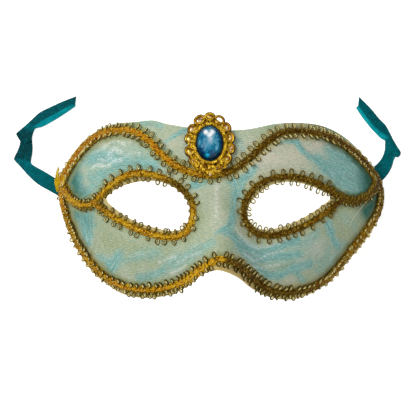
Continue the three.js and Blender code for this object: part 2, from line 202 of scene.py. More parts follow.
def wander(x, y, size, seed):
    """Smooth random relief from -1 to 1 over a plane, with bumps about size across."""
    lattice = np.random.default_rng(seed).uniform(-1, 1, (LATTICE, LATTICE))
    u, v = np.asarray(x, float) / size, np.asarray(y, float) / size
    i, j = np.floor(u).astype(int), np.floor(v).astype(int)
    s, t = smooth_step(u - i), smooth_step(v - j)
    i, next_i, j, next_j = (number % LATTICE for number in (i, i + 1, j, j + 1))
    low = lattice[i, j] * (1 - s) + lattice[next_i, j] * s
    high = lattice[i, next_j] * (1 - s) + lattice[next_i, next_j] * s
    return low * (1 - t) + high * t


def oval_spots(x, y, spots):
    """Soft oval spots, each with its middle, half sizes and strength, added up."""
    total = np.zeros_like(x)
    for centre_x, centre_y, wide, high, strength in spots:
        total += strength * np.exp(-(((x - centre_x) / wide) ** 2) - ((y - centre_y) / high) ** 2)
    return total


def soft_spots(x, y, spots):
    """The same, held between 0 and 1."""
    return np.clip(oval_spots(x, y, spots), 0, 1)


# Form of the face


def temple_reach(temple, y):
    """How far the rim of a temple is from the line of the nose, at each y."""
    away = y - temple["level"]
    bend = np.where(away > 0, temple["up"], temple["down"])
    return temple["reach"] - bend * away ** 2 / (1 + (away / temple["ease"]) ** 2)


def face_height(x, y):
    """Height of the shell's front over the table."""
    x, y = np.asarray(x, float), np.asarray(y, float)
    side = np.abs(x)
    reach = RIM_TURN * np.where(x < 0, temple_reach(LEFT_TEMPLE, y), temple_reach(RIGHT_TEMPLE, y))
    across = np.minimum(side / reach, 0.9999)
    lip = math.sqrt(1 - 1 / RIM_TURN ** 2)
    height = BROW_DEPTH * (np.sqrt(1 - across ** 2) - lip) / (1 - lip)
    height -= FOREHEAD_BEND * (y - FOREHEAD_LEVEL) ** 2 * (1 - across ** 2)
    down = smooth_step((NOSE["top"] - y) / (NOSE["top"] - NOSE["bottom"]))
    nose_wide = NOSE["root_wide"] + (NOSE["tip_wide"] - NOSE["root_wide"]) * down
    nose_rise = NOSE["root_rise"] + (NOSE["tip_rise"] - NOSE["root_rise"]) * down
    height += nose_rise * np.exp(-((side / nose_wide) ** NOSE["edge"]))
    for centre_x, centre_y, wide, high, rise in (EYE_SOCKET, BROW_RIDGE, CHEEK, NOSE_ROOT):
        height += rise * np.exp(-(((side - centre_x) / wide) ** 2) - ((y - centre_y) / high) ** 2)
    return height


def height_under(places):
    """Height of the shell's front at the x and y of each place."""
    return face_height(places[:, 0], places[:, 1])


def face_normal(places):
    """The way straight out of the shell's front at the x and y of each place."""
    x, y, reach = places[:, 0], places[:, 1], 0.05
    slope_x = (face_height(x + reach, y) - face_height(x - reach, y)) / (2 * reach)
    slope_y = (face_height(x, y + reach) - face_height(x, y - reach)) / (2 * reach)
    return unit(np.stack([-slope_x, -slope_y, np.ones_like(slope_x)], axis=-1))


def on_face(flat):
    """Places on the shell's front over these x, y."""
    return np.column_stack([flat[:, 0], flat[:, 1], height_under(flat)])


def along_face(ways, places):
    """Ways turned into the surface of the shell at these places, at length 1."""
    normal = face_normal(places)
    return unit(ways - normal * np.sum(ways * normal, axis=1, keepdims=True))


# Mesh building


def stood(name, data):
    """A new object in the scene."""
    thing = bpy.data.objects.new(name, data)
    bpy.context.scene.collection.objects.link(thing)
    return thing


class Pile:
    """Closed bits of one piece, with values at their points, gathered and made into one object.

    placed, if given, is the function that moves each bit from where it is drawn to where it sits.
    """

    def __init__(self, placed=None):
        self.points, self.faces, self.values, self.placed = [], [], [], placed

    def add(self, points, faces, **values):
        """Takes in a list of points or a web of them, rows by columns.

        A value is one number, one for each point of a list, one for each row of a web, or a web of its
        own. A value that a bit doesn't name is 0 on it.
        """
        points = np.asarray(points, float)
        start = sum(map(len, self.points))
        self.faces.extend([[index + start for index in face] for face in faces])
        spread = {}
        for key, value in values.items():
            value = np.asarray(value, float)
            if value.ndim == 1 and points.ndim == 3:
                value = value[:, None]
            spread[key] = np.broadcast_to(value, points.shape[:-1]).ravel()
        self.values.append(spread)
        flat = points.reshape(-1, 3)
        self.points.append(self.placed(flat) if self.placed else flat)

    def make(self, name, material, replaces=None, smooth=True):
        """Makes the piece out of all its bits."""
        joined = {}
        for key in sorted({key for values in self.values for key in values}):
            joined[key] = np.concatenate([
                values.get(key, np.zeros(len(points))) for values, points in zip(self.values, self.points)
            ])
        return make_piece(name, np.vstack(self.points), self.faces, joined, material, replaces, smooth)


def make_piece(name, points, faces, values, material, replaces=None, smooth=True):
    """A mesh object from points in millimetres, riding on the body, with numbers or vectors at its points."""
    mesh = bpy.data.meshes.new(name)
    mesh.from_pydata(to_row(points).tolist(), [], [list(map(int, face)) for face in faces])
    mesh.update()
    for key, numbers in values.items():
        numbers = np.asarray(numbers, np.float32)
        kind, field = ("FLOAT", "value") if numbers.ndim == 1 else ("FLOAT_VECTOR", "vector")
        mesh.attributes.new(key, kind, "POINT").data.foreach_set(field, numbers.ravel())
    if smooth:
        mesh.shade_smooth()
    mesh.materials.append(material)
    piece = stood(name, mesh)
    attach(piece, BODY)
    if replaces:
        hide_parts(replaces)
    return piece


def band_faces(rows, columns, closed_rows=False, start=0):
    """Four-sided faces over a web of points, rows by columns, that closes on itself along its rows."""
    low, side = np.meshgrid(np.arange(rows if closed_rows else rows - 1), np.arange(columns), indexing="ij")
    high, next_side = (low + 1) % rows, (side + 1) % columns
    corners = [low * columns + side, low * columns + next_side,
               high * columns + next_side, high * columns + side]
    return (np.stack(corners, axis=-1).reshape(-1, 4) + start).tolist()


def tube_faces(rows, columns):
    """The same faces, with one over each end."""
    first = list(range(columns))
    last = [(rows - 1) * columns + k for k in first]
    return band_faces(rows, columns) + [first[::-1], last]


def rod(line, up, wide, high, sides=8, closed=False):
    """A rod along a line, as a web of points, places by sides, and its faces.

    up is the way that counts as its top at each place, wide and high its two radii.
    """
    line = np.asarray(line, float)
    if closed:
        way = unit(np.roll(line, -1, axis=0) - np.roll(line, 1, axis=0))
    else:
        way = unit(np.gradient(line, axis=0))
    across = unit(np.cross(way, np.broadcast_to(up, line.shape)))
    top = unit(np.cross(across, way))
    angle = 2 * np.pi * np.arange(sides) / sides
    wide, high = (np.broadcast_to(radius, (len(line),))[:, None, None] for radius in (wide, high))
    web = (line[:, None] + across[:, None] * np.cos(angle)[None, :, None] * wide
           + top[:, None] * np.sin(angle)[None, :, None] * high)
    return web, band_faces(len(line), sides, closed_rows=True) if closed else tube_faces(len(line), sides)


def around(sides):
    """How far round a rod each of its sides is, from 0 to 1, as one row for all its rings."""
    return (np.arange(sides) / sides)[None]


def underside(sides, low, high):
    """How much each side of a rod faces down, in the same form."""
    return smooth_step(-np.sin(2 * np.pi * around(sides)), low, high)


def outside(sides, low, high):
    """How much each side of a rod faces to the right of its line, in the same form."""
    return smooth_step(np.cos(2 * np.pi * around(sides)), low, high)


# Materials


def colour(red, green, blue):
    """A colour given as it shows on screen, 0 to 255, as the shader's own numbers."""
    linear = [c / 12.92 if c <= 0.04045 else ((c + 0.055) / 1.055) ** 2.4
              for c in (red / 255, green / 255, blue / 255)]
    return (*linear, 1.0)


class Finish:
    """A node material on a Principled shader, with short calls for the nodes that feed it."""

    def __init__(self, name, **numbers):
        self.material = bpy.data.materials.new(name)
        self.material.use_nodes = True
        self.tree = self.material.node_tree
        self.shader = self.tree.nodes["Principled BSDF"]
        for socket, number in numbers.items():
            self.shader.inputs[socket.replace("_", " ")].default_value = number

    def node(self, kind, inputs, **settings):
        """A new node, with a number or a link at each of these inputs."""
        node = self.tree.nodes.new(kind)
        for key, value in settings.items():
            setattr(node, key, value)
        for socket, value in inputs.items():
            if isinstance(value, bpy.types.NodeSocket):
                self.tree.links.new(value, node.inputs[socket])
            else:
                node.inputs[socket].default_value = value
        return node

    def feed(self, socket, value):
        self.tree.links.new(value, self.shader.inputs[socket])

    def values(self, *names):
        """Values kept at the mesh's points."""
        return [self.node("ShaderNodeAttribute", {}, attribute_name=name).outputs["Fac"] for name in names]

    def vectors(self, *names):
        """Vectors kept at the mesh's points."""
        return [self.node("ShaderNodeAttribute", {}, attribute_name=name).outputs["Vector"] for name in names]

    def math(self, operation, *numbers, clamp=False):
        inputs = dict(enumerate(numbers))
        return self.node("ShaderNodeMath", inputs, operation=operation, use_clamp=clamp).outputs[0]

    def times(self, first, second, clamp=False):
        return self.math("MULTIPLY", first, second, clamp=clamp)

    def plus(self, first, second, clamp=False):
        return self.math("ADD", first, second, clamp=clamp)

    def wave(self, value, rate):
        """The sine of a value times a rate."""
        return self.math("SINE", self.times(value, rate))

    def blend(self, part, first, second):
        """A colour between two, by part from 0 to 1."""
        return self.node("ShaderNodeMix", {0: part, 6: first, 7: second}, data_type="RGBA").outputs[2]

    def span(self, value, low, high, out_low=0.0, out_high=1.0):
        """The value moved from one span of numbers to another, held inside it."""
        inputs = {0: value, 1: low, 2: high, 3: out_low, 4: out_high}
        return self.node("ShaderNodeMapRange", inputs).outputs[0]

    def overlaid(self, base, *layers):
        """Colours laid over a base one after another, each by a value and the two spans that move it."""
        for value, spans, tone in layers:
            base = self.blend(self.span(value, *spans), base, tone)
        return base

    def noise(self, scale, detail=2.0, roughness=0.5, vector=None, distortion=0.0):
        """Noise over the vector, or over the place on the object in metres if there is none."""
        vector = vector or self.node("ShaderNodeTexCoord", {}).outputs["Object"]
        inputs = {"Vector": vector, "Scale": scale, "Detail": detail, "Roughness": roughness,
                  "Distortion": distortion}
        return self.node("ShaderNodeTexNoise", inputs).outputs["Fac"]

    def brushed(self, vector, turn, scale, detail, roughness, distortion=0.0):
        """Noise drawn out along one way: the vector is turned in its plane and scaled first."""
        inputs = {"Vector": vector, "Rotation": (0, 0, turn), "Scale": (*scale, 1)}
        drawn_out = self.node("ShaderNodeMapping", inputs).outputs[0]
        return self.noise(1.0, detail, roughness, drawn_out, distortion)

    def bump(self, height, strength, distance, **below):
        inputs = {"Height": height, "Strength": strength, "Distance": distance, **below}
        return self.node("ShaderNodeBump", inputs).outputs[0]


# Satin ribbons

SATIN_THICKNESS = 0.24
SATIN_STRANDS = 25
SATIN_LOWEST = 0.05
SATIN_FADE = 0.8
# Satin: the matte face and its painted shade, flecks in the weave, and the face whose sheen is painted into
# its colour
SATIN_SHADE = colour(0, 60, 64)
SATIN_FLECK_DARK = colour(0, 58, 62)
SATIN_DARK = colour(0, 62, 68)
SATIN_MID = colour(0, 108, 116)
SATIN_FLECK_LIGHT = colour(0, 150, 160)
SATIN_BRIGHT = colour(0, 152, 164)
SATIN_PALE = colour(20, 180, 188)

# Stations along the creased strips. Each has places from one edge of the ribbon to the other: x, y,
# height and, where it isn't 0, how much painted sheen it has.

# From under the left temple: out, up past a soft corner, over a crease and on, partly turned over
LEFT_STATIONS = [
    [(-82.6, 4.8, 0.5), (-79.4, 11.8, 0.5)],
    [(-87.6, 7.6, 0.5), (-84.6, 15.0, 0.5)],
    [(-93.0, 10.6, 0.7), (-90.0, 17.8, 0.7)],
    [(-99.0, 14.1, 0.9), (-95.2, 21.0, 1.2)],
    [(-104.6, 19.2, 0.8), (-99.9, 23.6, 1.7)],
    [(-109.0, 24.2, 0.6), (-105.5, 24.6, 1.9, 0.05), (-102.2, 25.1, 1.4, 0.3)],
    [(-112.2, 27.8, 0.5), (-107.4, 26.9, 2.0), (-102.8, 25.9, 0.7, 0.3)],
    [(-111.7, 29.6, 0.5), (-107.2, 28.8, 1.1), (-102.6, 27.4, 1.5, 0.1)],
    [(-110.5, 32.0, 0.5), (-102.1, 30.8, 0.8)],
    [(-109.3, 35.0, 0.45), (-101.9, 34.4, 0.5)],
    [(-108.8, 38.2, 0.4), (-105.6, 37.4, 0.4), (-102.2, 38.6, 0.4)],
    [(-109.6, 41.0, 0.4), (-105.6, 39.0, 0.4), (-102.3, 40.2, 0.4)],
    [(-109.8, 41.4, 0.6), (-105.6, 39.3, 0.6), (-102.3, 40.5, 0.6)],
    [(-109.6, 41.0, 0.8), (-105.6, 39.0, 0.8), (-102.3, 40.2, 0.8)],
    [(-110.3, 41.0, 0.9), (-108.4, 38.2, 0.9), (-105.6, 36.5, 0.9), (-102.5, 38.2, 0.9)],
    [(-110.8, 41.4, 1.1), (-108.7, 37.9, 1.1), (-105.6, 36.1, 1.1), (-102.4, 38.0, 1.1)],
    [(-110.6, 42.2, 1.4), (-108.2, 39.0, 1.4), (-105.2, 37.6, 1.4), (-102.2, 39.0, 1.4)],
    [(-108.2, 44.4, 1.4), (-105.0, 42.4, 1.6), (-101.5, 42.0, 1.5)],
    [(-105.6, 46.6, 1.2), (-102.6, 45.2, 1.7), (-100.2, 44.6, 1.4, 0.1)],
    [(-102.9, 49.1, 1.0), (-99.6, 47.4, 1.9), (-98.9, 47.0, 1.7, 0.9), (-96.9, 45.6, 0.5, 1)],
    [(-98.1, 53.5, 0.8), (-95.4, 49.9, 2.0), (-95.1, 49.4, 1.8, 1), (-93.4, 47.3, 0.5, 1)],
    [(-91.0, 57.1, 0.8), (-88.9, 53.3, 2.2), (-88.7, 52.8, 2.0, 1), (-87.6, 50.7, 0.6, 1)],
    [(-84.3, 60.1, 0.8), (-83.6, 56.4, 2.2), (-83.5, 55.9, 2.0, 1), (-82.4, 54.1, 0.7, 1)],
    [(-77.8, 62.6, 0.7), (-78.1, 58.6, 2.0), (-78.1, 58.2, 1.9, 1), (-78.3, 57.0, 0.8, 1)],
]

# From under the right temple: out to a fold at the corner, then back up, partly turned over
RIGHT_STATIONS = [
    [(82.8, 9.9, 0.5), (77.6, 15.6, 0.5)],
    [(87.0, 13.2, 0.5), (81.6, 19.2, 0.5)],
    [(91.6, 16.4, 0.6), (85.6, 22.8, 0.7)],
    [(94.7, 20.1, 0.8), (88.6, 25.4, 1.2)],
    [(96.6, 23.8, 0.8), (90.6, 28.0, 1.4)],
    [(97.6, 27.2, 0.6), (92.0, 30.6, 0.9)],
    [(98.6, 29.2, 0.5), (92.5, 32.3, 0.5)],
    [(98.7, 29.6, 0.7), (92.5, 32.6, 0.7)],
    [(98.7, 29.2, 0.9), (92.5, 32.3, 0.9)],
    [(99.9, 28.9, 1.0), (92.4, 31.4, 1.0)],
    [(101.0, 29.9, 1.2), (92.5, 32.2, 1.2)],
    [(101.3, 31.8, 1.4), (96.8, 32.6, 2.0), (92.6, 33.6, 1.4)],
    [(99.6, 34.6, 1.1), (96.0, 35.4, 1.8), (92.7, 35.6, 1.2)],
    [(97.2, 38.8, 0.8), (94.4, 38.9, 1.8), (92.7, 38.0, 1.0, 0.1)],
    [(95.7, 41.8, 0.7), (93.2, 41.4, 2.0), (92.4, 40.8, 1.8, 0.8), (90.6, 39.3, 0.5, 1)],
    [(93.1, 46.6, 0.7), (89.8, 43.6, 2.1), (89.4, 43.2, 1.9, 1), (87.0, 42.9, 0.5, 1)],
    [(89.7, 50.1, 0.7), (86.9, 46.0, 2.2), (86.5, 45.7, 2.0, 1), (85.0, 45.0, 0.6, 1)],
    [(85.3, 55.4, 0.7), (83.1, 50.4, 2.2), (82.8, 50.1, 2.0, 1), (81.0, 50.0, 0.6, 1)],
    [(81.7, 59.1, 0.7), (80.2, 54.5, 2.1), (79.9, 54.2, 1.9, 1), (78.6, 53.4, 0.7, 1)],
    [(78.5, 62.3, 0.7), (77.8, 57.5, 2.0), (77.7, 57.2, 1.9, 1), (76.8, 56.2, 0.8, 1)],
]


def satin_finish():
    """Teal satin: a matte face, a face brightened by painted sheen, painted shade, threads along and across.
    """
    finish = Finish("teal_satin", Roughness=0.5, Metallic=0.0, Specular_IOR_Level=0.04)
    shine, dark, along, across = finish.values("shine", "dark", "along", "across")
    cloudy = finish.noise(260, 3)
    speckle = finish.noise(900, 2, 0.6)
    # The matte face, blended into painted shade over the shaded runs
    dull = finish.blend(finish.span(cloudy, 0.3, 0.7, 0.5, 1.0), SATIN_DARK, SATIN_MID)
    dull = finish.blend(dark, dull, SATIN_SHADE)
    # The bright face: its sheen painted into its colour
    bright = finish.blend(finish.span(cloudy, 0.5, 0.85), SATIN_BRIGHT, SATIN_PALE)
    finish.feed("Base Color", finish.overlaid(
        finish.blend(shine, dull, bright),
        (speckle, (0.4, 0.5, 0.35, 0.0), SATIN_FLECK_DARK),
        (speckle, (0.55, 0.66, 0.0, 0.3), SATIN_FLECK_LIGHT),
    ))
    weave = finish.plus(finish.wave(across, 26.0), finish.times(finish.wave(along, 19.0), 0.5))
    finish.feed("Normal", finish.bump(weave, 0.35, 0.00006))
    return finish.material


def satin_strip(name, stations, material, replaces, dark_runs):
    """A creased strip through the stations, with painted shade over some runs of them."""
    across = np.linspace(0, 1, SATIN_STRANDS)
    lines = []
    for places in stations:
        knots = np.array([(*place, 0)[:4] for place in places], float)
        part = run_along(knots[:, :3])
        lines.append(np.column_stack([np.interp(across, part / part[-1], knots[:, k]) for k in range(4)]))
    web = np.array([smooth_line([line[k] for line in lines], steps=5) for k in range(SATIN_STRANDS)])
    web = web.transpose(1, 0, 2)
    middle, shine = web[:, :, :3], web[:, :, 3]
    normal = unit(np.cross(np.gradient(middle, axis=1), np.gradient(middle, axis=0)))
    half = SATIN_THICKNESS / 2
    loop = np.concatenate([middle + normal * half, (middle - normal * half)[:, ::-1]], axis=1)
    loop[:, :, 2] = np.maximum(loop[:, :, 2], SATIN_LOWEST)
    station = np.linspace(0, len(stations) - 1, len(loop))
    dark = np.zeros(len(loop))
    for start, end, strength in dark_runs:
        dark = np.maximum(dark, strength * smooth_step(station, start, start + SATIN_FADE)
                          * (1 - smooth_step(station, end, end + SATIN_FADE)))
    pile = Pile()
    pile.add(loop, tube_faces(*loop.shape[:2]), dark=dark, along=run_along(middle[:, SATIN_STRANDS // 2]),
             across=np.concatenate([across, across[::-1]])[None] * RIBBON_WIDTH,
             shine=np.concatenate([shine, shine[:, ::-1]], axis=1))
    return pile.make(name, material, replaces)


def make_ribbons():
    satin = satin_finish()
    # Each side: its stations, route and ribbon length, and the runs of stations in painted shade with its
    # strength
    sides = (
        ("left", LEFT_STATIONS, LEFT_RIBBON, LEFT_RIBBON_LENGTH, [(6, 17, 0.9), (18, 30, 0.5)]),
        ("right", RIGHT_STATIONS, RIGHT_RIBBON, RIGHT_RIBBON_LENGTH, [(14, 30, 0.2)]),
    )
    for side, stations, route, length, dark_runs in sides:
        piece = satin_strip(f"satin_tie_{side}", stations, satin, f"ribbon_{side}", dark_runs)


# Lace-covered shell

RIM_COLUMNS = 380
MIDDLE_COLUMNS = 72
FRONT_ROWS = 42
BACK_ROWS = 24
EDGE_ROWS = 5
RIM_CLEARANCE = 0.35
HEM_WIDTH = 5.0
HEM_THICKNESS = 0.2
LIP_WIDTH = 2.2
NOTCH = {"width": 9.2, "height": 1.15, "length": 16.0}
NET_PITCH = 1.35
NET_TURN = 0.42

SAGE_GREEN = colour(168, 186, 149)
SAGE_GREY = colour(195, 200, 168)
MOSS = colour(160, 171, 126)
BEIGE = colour(212, 206, 182)
TURQUOISE_DEEP = colour(66, 148, 148)
TURQUOISE_PALE = colour(130, 198, 193)
TURQUOISE_WORN = colour(206, 220, 208)
TEAL = colour(0, 96, 82)
WEAVE_DARK = colour(84, 118, 98)
WEAVE_LIGHT = colour(238, 236, 220)
# Painted highlight on the glossy folds
FOLD_HIGHLIGHT = colour(240, 244, 240)
NET_THREAD = colour(232, 234, 214)
NET_RIDGE = colour(226, 230, 208)
# Painted shade in the hollows of the net
NET_HOLLOW = colour(70, 92, 66)
TAN = colour(228, 194, 116)
# Painted shade and gold glow on the lace beside the braids, and painted shade on the right flank
OLIVE = colour(96, 86, 20)
OLIVE_PALE = colour(148, 153, 88)
OLIVE_GREEN = colour(64, 104, 62)
OLIVE_BEIGE = colour(192, 180, 122)
PLASTIC_DARK = colour(226, 222, 208)
PLASTIC_LIGHT = colour(236, 233, 222)
HEM_DARK = colour(176, 190, 160)
HEM_LIGHT = colour(226, 224, 206)

# Warmer, greener areas of the lace: middle, half sizes and strength
MOSSY_AREAS = [
    (-45, -20, 18, 8, 0.8), (-58, -13, 7, 8, 0.7), (-30, -25, 12, 7, 0.6), (1, -18, 7, 6, 0.6),
    (-8, -2, 5, 14, 0.6), (60, -11, 13, 10, 0.9), (47, -30, 11, 8, 0.7), (28, -31, 10, 7, 0.4),
    (22, 26, 9, 8, 0.3), (-20, 34, 10, 4, 0.25),
]

# Areas with darker dye, most of them where the lace turns down at the temples, with painted shade of the
# steep sides added there; the two faint ones beside the nose are painted shade
DARK_AREAS = [
    (-77, 15, 4.5, 8, 0.85), (-74, 8, 6, 4, 0.45), (80.5, 16, 5.5, 8, 0.95), (81.3, 1, 5.5, 7, 1.35),
    (-76, -2, 4, 5, 0.6), (-68, -6, 5, 5, 0.35), (4.8, 9, 4.5, 9, 0.14), (-6.5, 3, 3.5, 7, 0.09),
]

# Pinkish beige areas, where no dye took, and painted highlight along the nose and in the middle of the brow
PALE_AREAS = [
    (-72, 27, 6, 5, 0.6), (-63, 34.5, 6, 3, 0.5), (35, 27, 16, 7, 0.95), (20, 25, 9, 8, 0.5),
    (54, 33, 9, 5, 1.1), (-7, 8, 6, 12, 0.2), (-22, 34, 9, 4, 0.5), (-70, 8, 3, 6, 0.3), (0, 29, 9, 9, 0.35),
    (-1, 0, 4, 16, 0.45), (51.5, -19.6, 5, 5, 1.0), (43.8, -28.2, 4, 4, 0.9), (38, -37, 4, 2.5, 0.6),
    (63.6, 17.7, 3.5, 2.5, 0.5),
]

# Brushed strokes of turquoise on the lace: route, half widths at its two ends, strength
STROKES = [
    ([(-66.4, 27.4), (-56.3, 30), (-42.7, 29.5), (-30, 21)], 7.0, 6.0, 0.35),
    ([(14, -20), (28, -26), (44, -26), (54, -20)], 8.0, 6.0, 0.35),
    ([(56, 24), (68, 20), (78, 12)], 8.0, 7.0, 0.4),
    ([(-73.2, 6.8), (-67.3, 10), (-59.3, 15)], 5.5, 4.0, 0.7),
    ([(-75.5, 24), (-75.5, 17), (-74, 8)], 3.4, 4.6, 1.0),
    ([(-70, 27.5), (-59, 27.5), (-48, 24.5), (-33, 22.5)], 4.2, 3.6, 0.85),
    ([(-66, 17.5), (-55, 20.5), (-46, 20)], 3.0, 2.6, 0.8),
    ([(-35, 35), (-30, 31), (-24.5, 29.5)], 2.2, 1.6, 0.7),
    ([(-71, -1), (-70, -8), (-69.5, -18)], 7.0, 2.4, 1.0),
    ([(-57, -32), (-54.5, -28), (-51.5, -23.5)], 3.2, 3.4, 0.85),
    ([(-63.5, -25), (-60, -26.5), (-56, -29)], 2.4, 2.6, 0.65),
    ([(-49, -27), (-44, -25), (-38, -23.5), (-32, -22.5)], 2.6, 3.8, 0.55),
    ([(-40, -35.5), (-34, -34), (-28, -31.5)], 3.0, 2.2, 0.75),
    ([(-24, -28), (-17, -24.5), (-10.5, -20.5), (-3.5, -16.5)], 4.6, 2.4, 0.62),
    ([(-15.5, 9.5), (-11.5, 12.8), (-6, 15)], 2.2, 3.0, 0.9),
    ([(-27, 34.5), (-22, 38), (-16, 41)], 1.0, 1.6, 0.9),
    ([(-44, 44.5), (-36, 45), (-29, 43)], 1.6, 1.8, 0.6),
    ([(5, 17), (9, 12), (8.5, 2.5), (7, -6), (4, -11)], 2.6, 2.6, 0.85),
    ([(12, 17), (12.5, 10), (11, 3)], 2.0, 1.4, 0.7),
    ([(14, 16.5), (16.5, 19), (19, 22)], 2.4, 1.8, 0.8),
    ([(30, 34.5), (35, 35.5), (40.5, 35)], 1.4, 1.8, 0.9),
    ([(40.8, 35.2), (42.9, 31.4), (47.1, 27.7)], 1.6, 1.8, 1.0),
    ([(47.1, 27.7), (51.1, 25.5), (55.7, 21.7)], 1.2, 2.2, 1.0),
    ([(52.5, 25.8), (58.5, 20.7), (64.1, 15.5), (70.9, 12.5)], 3.0, 4.2, 0.95),
    ([(59, 31), (66, 27.5), (73, 24), (78, 19)], 3.4, 4.4, 0.95),
    ([(60, 25), (67, 20.5), (74, 15)], 3.0, 3.6, 0.8),
    ([(79, 21), (79, 16), (77, 9)], 2.6, 3.0, 1.0),
    ([(83.5, 7), (82, 2), (80, -4)], 4.2, 1.6, 1.0),
    ([(57.4, -7), (60, -13.3), (63.5, -20)], 2.6, 1.8, 1.0),
    ([(-1, -11.5), (4, -9.5), (8, -13)], 1.2, 1.8, 0.7),
    ([(7.4, -13.2), (14.7, -18.8), (22.5, -21.5), (29.3, -19.8), (40, -14.9)], 1.8, 2.4, 1.0),
    ([(10.2, -17.6), (16, -24.1), (23.6, -24.9), (32.4, -23.9), (42, -23)], 1.6, 2.2, 1.0),
    ([(16.6, -27.5), (23.8, -32.5), (30.7, -34.3), (39.6, -30.5), (48, -28.5)], 2.2, 2.4, 1.0),
    ([(40.8, -32), (45, -37.5)], 1.8, 1.8, 0.8),
    ([(36, -17), (46.6, -16.5), (52, -11)], 3.4, 2.6, 0.55),
    ([(54, -32), (61, -27), (66, -19)], 3.2, 3.0, 0.5),
    ([(52.5, -27.5), (56.5, -25.5), (59, -20)], 1.6, 1.6, 0.5),
    ([(66, -4), (72, -8), (75, -14)], 3.0, 2.0, 0.35),
    ([(10.5, 36), (12.5, 32), (13.5, 28)], 1.6, 1.6, 0.45),
    ([(7, 25), (11, 24), (15, 27)], 1.4, 1.6, 0.5),
]

# Darker lines between some strokes, drawn the same way
DARK_LINES = [
    ([(42.4, 33.3), (49.6, 27.7), (55.3, 21.5), (59.4, 16.4)], 0.7, 0.7, 1.0),
    ([(8.5, -13), (12, -19), (16.8, -24), (24, -27.5)], 0.6, 0.7, 0.8),
    ([(13.9, -18.7), (20.9, -21.9), (29.3, -21.2), (38.7, -18)], 0.5, 0.6, 0.9),
    ([(17, -27), (24, -29.5), (31, -30), (40, -27.5)], 0.5, 0.6, 0.8),
    ([(-64, 20), (-58, 20.5), (-50, 23)], 0.5, 0.5, 0.6),
    ([(-66, -6), (-64.5, -14), (-66, -22)], 0.6, 0.6, 0.5),
]

# Glossy folds in the lace, drawn the same way: raised a little in the relief and whitened by painted
# highlight; the one down the nose ridge is painted highlight on the ridge
FOLDS = [
    ([(-59.5, 32.2), (-56.5, 35.6), (-52.8, 36.2), (-48.7, 34)], 0.8, 0.9, 1.0),
    ([(-57.5, 28.4), (-53.8, 31.7), (-50, 29.6)], 1.0, 1.2, 1.0),
    ([(-66.8, 21.8), (-63.3, 23.4), (-58.2, 22.8), (-53.3, 25.3), (-50, 25.9)], 0.8, 1.0, 1.0),
    ([(-62.5, 26.5), (-58, 26), (-54.5, 28)], 0.7, 0.8, 0.7),
    ([(-48, 27.5), (-44, 29.5), (-40, 29)], 0.7, 0.7, 0.7),
    ([(-66, 30), (-62, 31.5), (-59, 34.5)], 0.7, 0.7, 0.6),
    ([(-24, -32.5), (-20.5, -31), (-16.5, -28.5)], 1.0, 0.7, 1.0),
    ([(-30, -27), (-26, -25.5), (-21.5, -23.5)], 0.8, 0.6, 0.9),
    ([(-20, -27), (-15, -24), (-9, -21)], 0.8, 0.5, 0.6),
    ([(13.5, -15.5), (19.5, -19), (28, -18), (37, -13.5)], 0.9, 0.7, 0.7),
    ([(13, -21.5), (18.5, -25.5), (27, -22.5), (34.5, -20.5)], 0.8, 0.6, 0.8),
    ([(16.5, -28.5), (22.5, -29.5), (32, -28)], 0.9, 0.6, 0.8),
    ([(9, -9), (12, -13), (16, -16.5)], 0.6, 0.6, 0.7),
    ([(-0.8, 12), (-0.8, 5), (-0.8, -3)], 1.0, 0.8, 0.7),
    ([(-45, -24.5), (-39, -22.5), (-34, -22)], 0.6, 0.5, 0.4),
]


def shell_web(eye, centre_x, rim, middle):
    """The eye hole's edge and the outer edge of one half, as matching rings of places."""
    outer = np.vstack([rim, middle[1:-1]])
    centre = np.array([centre_x, EYE_CENTRE[1]])
    loop = smooth_line(eye, closed=True, steps=60) - centre
    angle = np.arctan2(loop[:, 1], loop[:, 0])
    order = np.argsort(angle)
    reach = np.hypot(loop[:, 0], loop[:, 1])[order]
    away = outer - centre
    want = np.arctan2(away[:, 1], away[:, 0])
    size = np.interp(want, angle[order], reach, period=2 * np.pi)
    inner = centre + unit(away) * size[:, None]
    return inner, clear_of_table(inner, outer)


def clear_of_table(inner, outer):
    """The outer ring drawn in to where the front still stands a little over the table."""
    low, high = np.zeros(len(outer)), np.ones(len(outer))
    for _ in range(30):
        part = (low + high) / 2
        clear = height_under(inner + (outer - inner) * part[:, None]) > RIM_CLEARANCE
        low, high = np.where(clear, part, low), np.where(clear, high, part)
    full = height_under(outer) > RIM_CLEARANCE
    return inner + (outer - inner) * np.where(full, 1, low)[:, None]


def crinkle(x, y):
    """Small relief of the lace over the moulded shell."""
    relief = 0.08 * wander(x + 0.6 * y, y, 5.5, 1) + 0.04 * wander(x, y, 2.3, 2)
    folds, _ = cover(x, y, FOLDS, 0.2)
    return relief + 0.16 * folds * (0.7 + 0.5 * wander(x - y, x + y, 1.8, 3))


